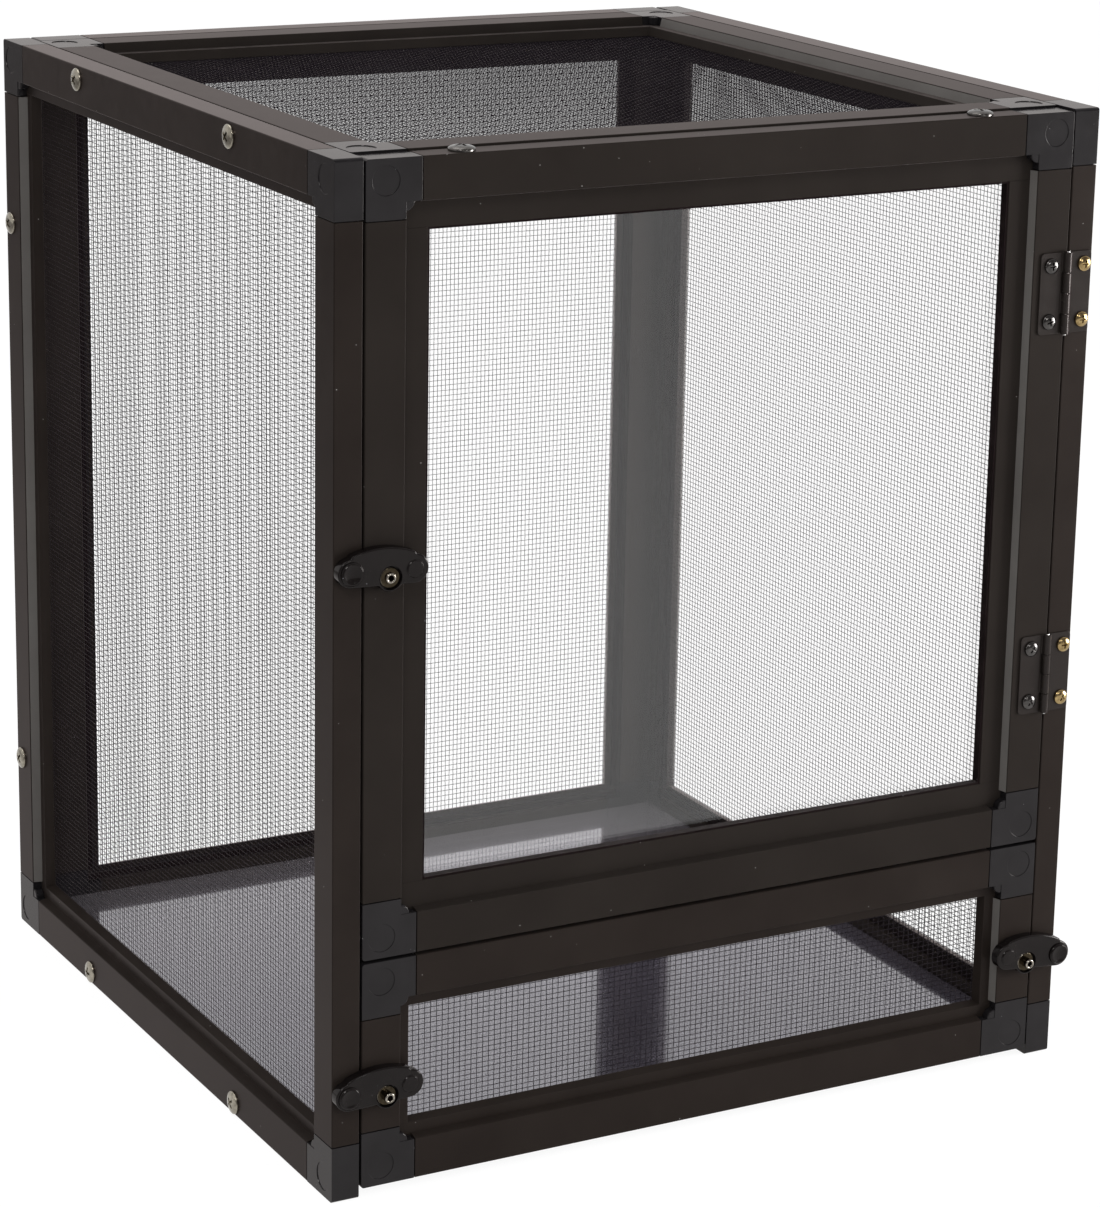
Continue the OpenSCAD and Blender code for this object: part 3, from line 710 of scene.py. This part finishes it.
# %% [markdown]
# ## The screens
#
# The screen is window screen: black wires about 0.3 mm thick, 2.6 mm apart one way and 3.1 mm the
# other, woven over and under. Where an upright wire comes over a level one it catches the light, so
# the screen of the top shows a chequer of tiny bright dots. An image with holes in it would glitter
# and lose that, so each wire is a real rod with a kink at every crossing. There are well over a
# hundred thousand kinks, too many to push about one by one, so they are worked out as arrays.

# %% Screens
WIRE_SIDES = 4
CRIMP = 0.15
TOP_CRIMP = 0.2
MESH_IN = 0.3
WIRE_SHORT = 0.2
# Pitch across, pitch up, radius of the wire
screen_weave = {
    "left": (3.13, 2.62, 0.142),
    "right": (3.13, 2.62, 0.174),
    "back": (2.60, 3.15, 0.184),
    "top": (3.15, 2.62, 0.175),
    "lower": (3.20, 2.63, 0.18),
}


def woven_set(across, along, level, phase, turn, wire_r, crimp):
    """Rods at the places across, kinked at the places along. Returns points and faces.

    Points are (across, along, deep). phase says which crossings go over, turn is 1 or -1 and keeps
    the faces outwards when across and along swap.
    """
    rods, knots = len(across), len(along)
    number, knot = np.meshgrid(np.arange(rods), np.arange(knots), indexing="ij")
    kink = np.where((number + knot + phase) % 2 == 0, crimp, -crimp)
    kink[:, 0] = 0
    kink[:, -1] = 0
    angle = np.pi / 4 + 2 * np.pi * np.arange(WIRE_SIDES) / WIRE_SIDES
    points = np.zeros((rods, knots, WIRE_SIDES, 3))
    points[..., 0] = across[number][..., None] - turn * wire_r * np.cos(angle)
    points[..., 1] = along[knot][..., None]
    points[..., 2] = level + kink[..., None] + wire_r * np.sin(angle)
    index = np.arange(rods * knots * WIRE_SIDES).reshape(rods, knots, WIRE_SIDES)
    here, following = index[:, :-1], index[:, 1:]
    sides = np.stack([here, np.roll(here, -1, 2), np.roll(following, -1, 2), following], -1)
    starts, ends = index[:, 0, ::-1], index[:, -1]
    faces = np.concatenate([sides.reshape(-1, 4), starts, ends])
    return points.reshape(-1, 3), faces


def wire_piece(name, panel, points, faces):
    mesh = bpy.data.meshes.new(name)
    mesh.from_pydata(points.tolist(), [], faces.tolist())
    mesh.transform(panel.bench)
    mesh.shade_smooth()
    mesh.materials.append(wire_black)
    piece = placed(name, mesh)
    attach(piece, panel.body)
    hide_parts(panel.name + "_screen")


def spaced(length, edge, pitch):
    """Places pitch apart, centred between the edges, with the two edges as ends."""
    count = int((length - 2 * edge) / pitch)
    inner = (length - count * pitch) / 2 + pitch * np.arange(count + 1)
    return inner, np.concatenate([[edge], inner, [length - edge]])


for panel in panels:
    if panel.name not in screen_weave:
        continue
    pitch_x, pitch_y, wire_r = screen_weave[panel.name]
    crimp = TOP_CRIMP if panel.name == "top" else CRIMP
    edge = tube_w + groove_in + groove_w + WIRE_SHORT
    level = lip_in - MESH_IN
    columns, column_ends = spaced(panel.width, edge, pitch_x)
    rows, row_ends = spaced(panel.height, edge, pitch_y)
    points, faces = woven_set(columns, row_ends, level, 0, 1, wire_r, crimp)
    wire_piece(panel.name + "_upright_wires", panel, points, faces)
    upright_faces = len(faces)
    points, faces = woven_set(rows, column_ends, level, 1, -1, wire_r, crimp)
    wire_piece(panel.name + "_level_wires", panel, points[:, [1, 0, 2]], faces)
    print(panel.name, "wires:", len(columns), "+", len(rows), "faces:", upright_faces, len(faces))

# %% [markdown]
# ## Screws, hinges and pins
#
# The screws are domed pan heads with a cross recess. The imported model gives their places, and its
# loose parts are measured one by one, so each new screw sits exactly on its old one. A head is turned
# on a lathe from its profile, the cross is cut with two wedges, and every screw then gets its own
# turn, because no two of them stop at the same angle. The small metal parts are made the same way:
# turned profiles for studs and pins, and thin stamped plates for the hinge leaves.

# %% Lathe and loose parts
def lathe(bm, profile, sides):
    """Turns the profile of (radius, height) points round Z. It starts and ends on the axis."""
    rings = []
    for radius, height in profile:
        if radius == 0:
            rings.append([bm.verts.new((0, 0, height))])
            continue
        angles = [2 * math.pi * i / sides for i in range(sides)]
        rings.append([bm.verts.new((radius * math.cos(a), radius * math.sin(a), height))
                      for a in angles])
    for low, high in zip(rings, rings[1:]):
        if len(low) == len(high):
            skin(bm, low, high)
            continue
        for i in range(sides):
            j = (i + 1) % sides
            one_below = len(low) == 1
            bm.faces.new((low[0], high[j], high[i]) if one_below else (low[i], low[j], high[0]))


def loose_parts(node):
    """The low and high corner, in mm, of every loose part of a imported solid."""
    solid = nodes[node]
    bm = bmesh.new()
    bm.from_mesh(solid.data)
    bmesh.ops.remove_doubles(bm, verts=bm.verts, dist=1e-6)
    bm.verts.ensure_lookup_table()
    waiting = set(range(len(bm.verts)))
    parts = []
    while waiting:
        stack = [waiting.pop()]
        points = []
        while stack:
            vert = bm.verts[stack.pop()]
            points.append(solid.matrix_world @ vert.co / MM)
            for edge in vert.link_edges:
                other = edge.other_vert(vert).index
                if other in waiting:
                    waiting.remove(other)
                    stack.append(other)
        parts.append(([min(p[i] for p in points) for i in range(3)],
                      [max(p[i] for p in points) for i in range(3)]))
    bm.free()
    return sorted(parts)


# %% Screws
HEAD_RIM = 0.3
CROSS_LONG = 0.56
CROSS_WIDE = 0.12
CROSS_DEEP = 0.6
CROSS_PAST = 0.2
SCREW_SEED = 11
DOME_STEPS = 9
SCREW_SIDES = 48


def cross_wedge(head_r, head_h, turned):
    """One arm of the cross recess, wide at the top and narrow at the bottom."""
    bm = bmesh.new()
    top, bottom = head_h + CROSS_PAST, head_h * (1 - CROSS_DEEP)
    rings = []
    for height, share in ((bottom, 0.5), (top, 1.05)):
        long, wide = CROSS_LONG * head_r * share, CROSS_WIDE * head_r * (0.4 + 0.6 * share)
        if turned:
            long, wide = wide, long
        rings.append([bm.verts.new((x * long, y * wide, height))
                      for x, y in ((-1, -1), (1, -1), (1, 1), (-1, 1))])
    skin(bm, *rings)
    bm.faces.new(rings[0][::-1])
    bm.faces.new(rings[1])
    return object_of(bm, "cross wedge")


def screw_mesh(head_r, head_h, shank_r, length):
    """A screw in mm with its seat at 0 and its head along +Z."""
    rim = HEAD_RIM * head_h
    angles = [math.pi / 2 * i / DOME_STEPS for i in range(DOME_STEPS)]
    dome = [(head_r * math.cos(a), rim + (head_h - rim) * math.sin(a)) for a in angles]
    bm = bmesh.new()
    lathe(bm, [(0, -length), (0.4 * shank_r, -length), (shank_r, 1.5 - length), (shank_r, 0),
               (head_r - 0.15, 0), (head_r, 0.15)] + dome + [(0, head_h)], SCREW_SIDES)
    made = object_of(bm, "screw")
    wedges = [cross_wedge(head_r, head_h, turned) for turned in (False, True)]
    for wedge in wedges:
        carve(made, wedge, "cross")
    return mesh_of(settled(made, *wedges), "screw")


turns = random.Random(SCREW_SEED)


def screw_set(node, axis, seat, shank_r, material, body):
    """Every screw of a node. seat is the distance from the origin at which the heads lie."""
    bm = bmesh.new()
    parts = loose_parts(node)
    for low, high in parts:
        centre = [(a + b) / 2 for a, b in zip(low, high)]
        outward = 1 if centre[axis] > 0 else -1
        far = high[axis] if outward > 0 else low[axis]
        near = low[axis] if outward > 0 else high[axis]
        head_r = max(high[i] - low[i] for i in range(3) if i != axis) / 2
        mesh = screw_mesh(head_r, abs(far) - seat, shank_r, seat - abs(near))
        direction = Vector([outward * (i == axis) for i in range(3)])
        place = Vector(centre)
        place[axis] = outward * seat
        stand = direction.to_track_quat("Z", "Y").to_matrix().to_4x4()
        spin = Matrix.Rotation(turns.uniform(0, math.pi / 2), 4, "Z")
        add_mesh(bm, mesh, Matrix.Translation(place) @ stand @ spin)
    mesh_piece(node + "_made", bm, TO_METRES, material, body, [node], angle=40)
    print(node, len(parts))


LEAF_T = 1.0
PANEL_SHANK_R = 2.0
HINGE_SHANK_R = 1.5
leaf_face = -front_y + LEAF_T
door_top = high_mm("door_corners")[2]
screw_set("panel_screws", 0, half_w, PANEL_SHANK_R, bronze_screw, "cage")
screw_set("door_top_screws", 2, door_top, PANEL_SHANK_R, dark_screw, "main_door")
screw_set("hinge_frame_screws", 1, leaf_face, HINGE_SHANK_R, brass_screw, "cage")
screw_set("hinge_door_screws", 1, leaf_face, HINGE_SHANK_R, black_screw, "main_door")


# %% Hinges
KNUCKLE_R = 2.0
KNUCKLES = 4
KNUCKLE_PLAY = 0.3
HINGE_CLEAR = 0.35
LEAF_CORNER_R = 2.2
LEAF_EDGE = 0.22
WEB_START = 0.3
WEB_LAP = 0.5
PIN_R = 1.0
PIN_SIDES = 24


def hinge_leaf(node, body, side, first):
    """side is 1 for the leaf on the frame and -1 for the door's. first is its lowest knuckle."""
    low, high = low_mm(node), high_mm(node)
    axis_x = low[0] + KNUCKLE_R if side > 0 else high[0] - KNUCKLE_R
    axis_y = low[1] + KNUCKLE_R
    reach = high[0] - low[0] - KNUCKLE_R
    height = high[2] - low[2]
    start = KNUCKLE_R + HINGE_CLEAR
    pitch = (height + KNUCKLE_PLAY) / KNUCKLES
    bm = bmesh.new()
    plate = rounded([(start, 0), (reach, 0), (reach, height), (start, height)],
                    [0, LEAF_CORNER_R, LEAF_CORNER_R, 0], 6)
    extrude(bm, plate, start - LEAF_T, start,
            lambda s, a, d: Vector((axis_x + side * a, axis_y + s, low[2] + d)))
    for i in range(first, KNUCKLES, 2):
        foot = low[2] + i * pitch
        head = foot + pitch - KNUCKLE_PLAY
        cylinder(bm, (axis_x, axis_y), KNUCKLE_R, foot, head, 40)
        web_end, under = start + WEB_LAP, KNUCKLE_R - LEAF_T
        web = [Vector(p) for p in ((WEB_START, under), (web_end, under), (web_end, KNUCKLE_R),
                                   (WEB_START, KNUCKLE_R))]
        extrude(bm, web, foot, head, lambda s, a, d: Vector((axis_x + side * a, axis_y + d, s)))
    made = object_of(bm, "leaf")
    round_edges(made, LEAF_EDGE)
    mesh_piece(node + "_made", settled(made), TO_METRES, hinge_black, body, [node],
               angle=40)


for height in ("upper", "lower"):
    hinge_leaf(height + "_hinge_frame_leaf", "cage", 1, 0)
    hinge_leaf(height + "_hinge_door_leaf", "main_door", -1, 1)

bm = bmesh.new()
for low, high in loose_parts("hinge_pins"):
    pin = bmesh.new()
    long = high[2] - low[2]
    lathe(pin, [(0, 0), (0.65, 0), (0.9, 0.1), (PIN_R, 0.35), (PIN_R, long - 0.35),
                (0.9, long - 0.1), (0.65, long), (0, long)], PIN_SIDES)
    add_mesh(bm, mesh_of(pin, "pin"), Matrix.Translation(((low[0] + high[0]) / 2,
                                                          (low[1] + high[1]) / 2, low[2])))
mesh_piece("hinge_pins_made", bm, TO_METRES, pin_metal, "cage", ["hinge_pins"],
           angle=40)

# %% [markdown]
# ## The latches
#
# A latch is one moulding: a wide thumb pad with a dished disc, a hub round the stud, and a tip with a
# smaller disc, under one long curved crest. Four simple shapes overlap in its outline. Rather than
# draw that outline by hand, rays are sent out from its middle and stop at the last shape that they
# leave. The points are smoothed a little, as a mould would be, and stacked into a body whose front
# edge is rounded. The pocket round the stud is then cut out, and the discs are turned and set in.

# %% Latch outline
THUMB = Vector((-20.1, 2.6))
THUMB_R = 7.0
TIP = Vector((12.2, 4.2))
TIP_R = 7.2
HUB_R = 6.65
CREST_R = 45.8
CREST_MIDDLE = Vector((-2.0, 14.8 - CREST_R))
CREST_END = -20.8
RAY_MIDDLE = Vector((-3.5, 4.0))
RAYS = 300
RAY_REACH = 30.0
RAY_STEP = 0.2
HALVINGS = 8
SMOOTHINGS = 3


def in_latch(point):
    if (point - THUMB).length < THUMB_R or (point - TIP).length < TIP_R or point.length < HUB_R:
        return True
    if (point - CREST_MIDDLE).length > CREST_R or not CREST_END < point.x < TIP.x:
        return False
    share = (point.x - THUMB.x) / (TIP.x - THUMB.x)
    return point.y > (1 - share) * (THUMB.y - THUMB_R) + share * (TIP.y - TIP_R)


def latch_outline():
    outline = []
    for i in range(RAYS):
        angle = 2 * math.pi * i / RAYS
        ray = Vector((math.cos(angle), math.sin(angle)))
        reach = RAY_REACH
        while not in_latch(RAY_MIDDLE + ray * reach):
            reach -= RAY_STEP
        inside, outside = reach, reach + RAY_STEP
        for _ in range(HALVINGS):
            middle = (inside + outside) / 2
            if in_latch(RAY_MIDDLE + ray * middle):
                inside = middle
            else:
                outside = middle
        outline.append(RAY_MIDDLE + ray * inside)
    for _ in range(SMOOTHINGS):
        outline = [(outline[i - 1] + outline[i] * 2 + outline[(i + 1) % RAYS]) / 4
                   for i in range(RAYS)]
    return outline


# %% Latch body, discs and studs
LATCH_CLEAR = 0.4
LATCH_T = 5.5
LATCH_EDGE = 0.9
EDGE_STEPS = 6
LATCH_SIDES = 64
HUB_T = 3.6
POCKET_R = 5.85
BORE_R = 2.7
THUMB_DISC_R = 5.7
THUMB_HIGH = 1.5
THUMB_EDGE = 0.8
DISH_R = 4.6
DISH_STEPS = 8
DISC_SINK = 0.5
TIP_DISC_R = 4.5
TIP_HIGH = 0.8
STUD_R = 2.65
STUD_BORE_R = 1.35
STUD_SHANK = 8
FLANGE_R = 5.25
FLANGE_GAP = 0.1
FLANGE_TOP = 1.1
HIGHLIGHT_RIM_WIDE = 0.6


def stacked(outline, layers):
    """A body from (inset, height) layers of one outline."""
    bm = bmesh.new()
    count = len(outline)
    inward = []
    for i in range(count):
        run = (outline[(i + 1) % count] - outline[i - 1]).normalized()
        inward.append(Vector((-run.y, run.x)))
    rings = []
    for inset, height in layers:
        ring = [outline[i] + inward[i] * inset for i in range(count)]
        rings.append([bm.verts.new((p.x, p.y, height)) for p in ring])
    for low, high in zip(rings, rings[1:]):
        skin(bm, low, high)
    bm.faces.new(rings[0][::-1])
    bm.faces.new(rings[-1])
    return bm


def sloped_rim(radius, top, edge, foot):
    """The profile of a disc's side, from its foot over a slope as wide as it is high."""
    return [(radius, foot), (radius, top - edge), (radius - 0.14 * edge, top - 0.78 * edge),
            (radius - 0.78 * edge, top - 0.14 * edge), (radius - edge, top)]


def latch_mesh():
    front = LATCH_CLEAR + LATCH_T
    layers = [(0.35, LATCH_CLEAR), (0.1, LATCH_CLEAR + 0.1), (0, LATCH_CLEAR + 0.35)]
    for i in range(EDGE_STEPS + 1):
        angle = math.pi / 2 * i / EDGE_STEPS
        layers.append((LATCH_EDGE * (1 - math.cos(angle)),
                       front - LATCH_EDGE * (1 - math.sin(angle))))
    body = object_of(stacked(latch_outline(), layers), "latch body")
    cutters = []
    for radius, low in ((BORE_R, 0), (POCKET_R, LATCH_CLEAR + HUB_T)):
        bm = bmesh.new()
        cylinder(bm, (0, 0), radius, low, front + CUT_PAST, LATCH_SIDES)
        cutter = object_of(bm, "pocket cutter")
        carve(body, cutter, "pocket")
        cutters.append(cutter)
    whole = settled(body, *cutters)
    sunk = front - DISC_SINK
    rise = front + THUMB_HIGH
    shares = [1 - i / DISH_STEPS for i in range(DISH_STEPS)]
    dish = [(DISH_R * share, rise - THUMB_HIGH / 2 * (1 - share ** 2)) for share in shares]
    disc = bmesh.new()
    lathe(disc, [(0, sunk)] + sloped_rim(THUMB_DISC_R, rise, THUMB_EDGE, sunk) + dish
          + [(0, rise - THUMB_HIGH / 2)], LATCH_SIDES)
    add_mesh(whole, mesh_of(disc, "thumb disc"), Matrix.Translation((THUMB.x, THUMB.y, 0)))
    rise = front + TIP_HIGH
    disc = bmesh.new()
    lathe(disc, [(0, sunk)] + sloped_rim(TIP_DISC_R, rise, TIP_HIGH, sunk) + [(0, rise)], LATCH_SIDES)
    add_mesh(whole, mesh_of(disc, "tip disc"), Matrix.Translation((TIP.x, TIP.y, 0)))
    return mesh_of(whole, "latch")


def stud_mesh(reach):
    bm = bmesh.new()
    low, high = LATCH_CLEAR + HUB_T + FLANGE_GAP, LATCH_CLEAR + HUB_T + FLANGE_TOP
    lathe(bm, [(0, -STUD_SHANK), (PANEL_SHANK_R, -STUD_SHANK), (PANEL_SHANK_R, 0), (STUD_R, 0),
               (STUD_R, low), (FLANGE_R - 0.3, low), (FLANGE_R, low + 0.2), (FLANGE_R, high - 0.6),
               (FLANGE_R - 0.12, high - 0.35), (FLANGE_R - 0.4, high - 0.12),
               (FLANGE_R - 0.8, high), (STUD_R, high),
               (STUD_R, reach - 0.6), (STUD_R - 0.15, reach - 0.25), (STUD_R - 0.5, reach),
               (STUD_BORE_R + 0.5, reach), (STUD_BORE_R + 0.15, reach - 0.2),
               (STUD_BORE_R, reach - 0.5), (STUD_BORE_R, reach / 2), (0, reach / 2)], SCREW_SIDES)
    # All but the post and the flange's rounded rim take the dark brass. The rim keeps the lighter
    # stud metal as a painted highlight, so the flange shows bright arcs.
    for face in bm.faces:
        middle = face.calc_center_median()
        on_highlight_rim = middle.xy.length > FLANGE_R - HIGHLIGHT_RIM_WIDE and middle.z > high - 0.5
        on_post = middle.xy.length <= STUD_R + 0.3 and middle.z >= high
        if not on_highlight_rim and not on_post:
            face.material_index = 1
    return mesh_of(bm, "stud")


def at_stud(part, turn, mirrored):
    """The bench on the door's face at a stud, with its parts turned by degrees."""
    low, high = part
    move = Matrix.Translation(((low[0] + high[0]) / 2, front_y, (low[2] + high[2]) / 2))
    stand = Matrix.Rotation(math.pi / 2, 4, "X")
    flip = Matrix.Diagonal((-1 if mirrored else 1, 1, 1, 1))
    return TO_METRES @ move @ stand @ flip @ Matrix.Rotation(math.radians(turn), 4, "Z")


MAIN_TURN = -4.5
RIGHT_TURN = 3
latch_shape = latch_mesh()
main_stud = loose_parts("main_latch_stud")[0]
left_stud, right_stud = loose_parts("lower_latch_studs")
for node, stud, turn, mirrored in (("main_latch", main_stud, MAIN_TURN, False),
                                   ("lower_left_latch", left_stud, 0, False),
                                   ("lower_right_latch", right_stud, RIGHT_TURN, True)):
    bm = bmesh.new()
    bm.from_mesh(latch_shape)
    mesh_piece(node + "_made", bm, at_stud(stud, turn, mirrored), latch_black, node, [node],
               angle=40)
for node, body, studs in (("main_latch_stud", "main_door", [main_stud]),
                          ("lower_latch_studs", "lower_door", [left_stud, right_stud])):
    bm = bmesh.new()
    for stud in studs:
        add_mesh(bm, stud_mesh(front_y - stud[0][1]), at_stud(stud, 0, False))
    made = mesh_piece(node + "_made", bm, Matrix(), stud_metal, body, [node], angle=40)
    made.data.materials.append(dull_brass)
print("latch faces:", len(latch_shape.polygons))

# %% [markdown]
# ## The floor, the pane and the strips
#
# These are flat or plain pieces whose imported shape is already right: a sheet of glossy lilac-grey
# plastic on a frame of tubes, a clear acrylic pane, its black seal, and the strips in the grooves.
# They keep their solids and take a finish.

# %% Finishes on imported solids
def dress(node, material):
    solid = nodes[node].data
    solid.materials.clear()
    solid.materials.append(material)


for side in ("front", "rear", "left", "right"):
    dress("floor_" + side + "_bar", frame_black)
    round_edges(nodes["floor_" + side + "_bar"], EDGE_R * MM)
dress("floor_corners", connector_black)
round_edges(nodes["floor_corners"], SEAM_R * MM, 2)
dress("floor_sheet", lilac_floor)
dress("door_pane", acrylic)
for node in ("pane_seal", "cage_splines", "lower_splines"):
    dress(node, seal_black)

# %% [markdown]
# ## Floor, backdrop and light
#
# The picture is a product shot: white all round, soft light from above and behind, and a darker room
# behind the camera. The upward faces of the black bars pick up the white and read a warm grey, while
# the faces towards the camera stay dark. One world carries this: plain white where the camera or a
# reflection in glass looks at it, and for the rest a sky that is bright above and behind the cage
# and dim in front. Reflections see that dim front too, and a floor that darkens to the left, so the
# small metal parts have a dark side and the left side of the cage is darkest at its top.

# %% World
ROOM_STRENGTH = 0.9
DARK_ROOM = (0.25, 0.24, 0.24)


def direction_part(tree, axis):
    """How far the ray points along a world axis, from -1 to 1."""
    return along_axis(tree, tree.nodes.new("ShaderNodeTexCoord").outputs["Generated"], axis)


def looked_at(tree):
    """1 for the rays of the camera, of reflections and of what is seen through the pane."""
    path = tree.nodes.new("ShaderNodeLightPath")
    seen = path.outputs["Is Camera Ray"]
    for ray in ("Is Glossy Ray", "Is Transmission Ray"):
        seen = arithmetic(tree, "MAXIMUM", seen, path.outputs[ray])
    return seen


def mirrored_room(tree, dim):
    """White, but darker in reflections by the share dim."""
    path = tree.nodes.new("ShaderNodeLightPath")
    share = arithmetic(tree, "MULTIPLY", dim, path.outputs["Is Glossy Ray"])
    return blend_colours(tree, share, (1, 1, 1), DARK_ROOM)


def studio_world():
    world = bpy.data.worlds.new("studio")
    world.use_nodes = True
    tree = world.node_tree
    tree.nodes.clear()
    output = tree.nodes.new("ShaderNodeOutputWorld")
    room = tree.nodes.new("ShaderNodeBackground")
    white = tree.nodes.new("ShaderNodeBackground")
    front = spread(tree, direction_part(tree, "Y"), -0.5, 0.0, 1.0, 0.0)
    tree.links.new(mirrored_room(tree, front), white.inputs["Color"])
    above = spread(tree, direction_part(tree, "Z"), -0.1, 0.9, 0.0, 1.0)
    behind = spread(tree, direction_part(tree, "Y"), -0.6, 0.8, 0.0, 1.0)
    low = blend_colours(tree, behind, (0.42, 0.41, 0.42), (0.95, 0.94, 0.96))
    colour = blend_colours(tree, above, low, (1.0, 0.99, 1.0))
    tree.links.new(colour, room.inputs["Color"])
    room.inputs["Strength"].default_value = ROOM_STRENGTH
    blend_shaders(tree, looked_at(tree), room.outputs["Background"], white.outputs["Background"],
                  output)
    scene.world = world


studio_world()


# %% Floor under the cage
FLOOR_REACH = 6.0
FLOOR_DROP = 0.0002
GLOW_STRENGTH = 1.06
GLOW_SHARE = 0.87


def studio_floor():
    bm = bmesh.new()
    corners = ((-1, -1), (1, -1), (1, 1), (-1, 1))
    bm.faces.new([bm.verts.new((x * FLOOR_REACH, y * FLOOR_REACH, -FLOOR_DROP))
                  for x, y in corners])
    mesh = mesh_of(bm, "studio_floor")
    floor = placed("studio_floor", mesh)
    material, tree, shader, output = new_material("studio_white")
    colour = blend_colours(tree, noise(tree, 3, 2), (0.80, 0.80, 0.80), (0.82, 0.82, 0.82))
    tree.links.new(colour, shader.inputs["Base Color"])
    shader.inputs["Roughness"].default_value = 0.7
    left = spread(tree, along_axis(tree, object_point(tree), "X"), -1.0, -0.4, 1.0, 0.0)
    glow = tree.nodes.new("ShaderNodeEmission")
    tree.links.new(mirrored_room(tree, left), glow.inputs["Color"])
    glow.inputs["Strength"].default_value = GLOW_STRENGTH
    share = arithmetic(tree, "MULTIPLY", looked_at(tree), GLOW_SHARE)
    blend_shaders(tree, share, shader.outputs["BSDF"], glow.outputs["Emission"], output)
    mesh.materials.append(material)


studio_floor()


# %% Lamps
def soft_lamp(name, place, aim, size, watts):
    data = bpy.data.lights.new(name, "AREA")
    data.shape = "SQUARE"
    data.size = size
    data.energy = watts
    lamp = placed(name, data)
    lamp.location = place
    lamp.rotation_euler = (Vector(aim) - Vector(place)).to_track_quat("-Z", "Y").to_euler()


soft_lamp("lamp_above", (-0.4, 0.5, 2.4), (0, 0, 0.2), 1.6, 13)
soft_lamp("lamp_left", (-1.3, -1.7, 2.1), (0, 0, 0.3), 0.7, 20)
soft_lamp("lamp_front", (0.25, -2.2, 1.0), (0, -0.2, 0.3), 0.25, 4)
soft_lamp("lamp_right", (1.45, -0.9, 0.35), (0.15, -0.2, 0.25), 0.6, 28)

# %% View settings and the end
scene.view_settings.view_transform = "Standard"
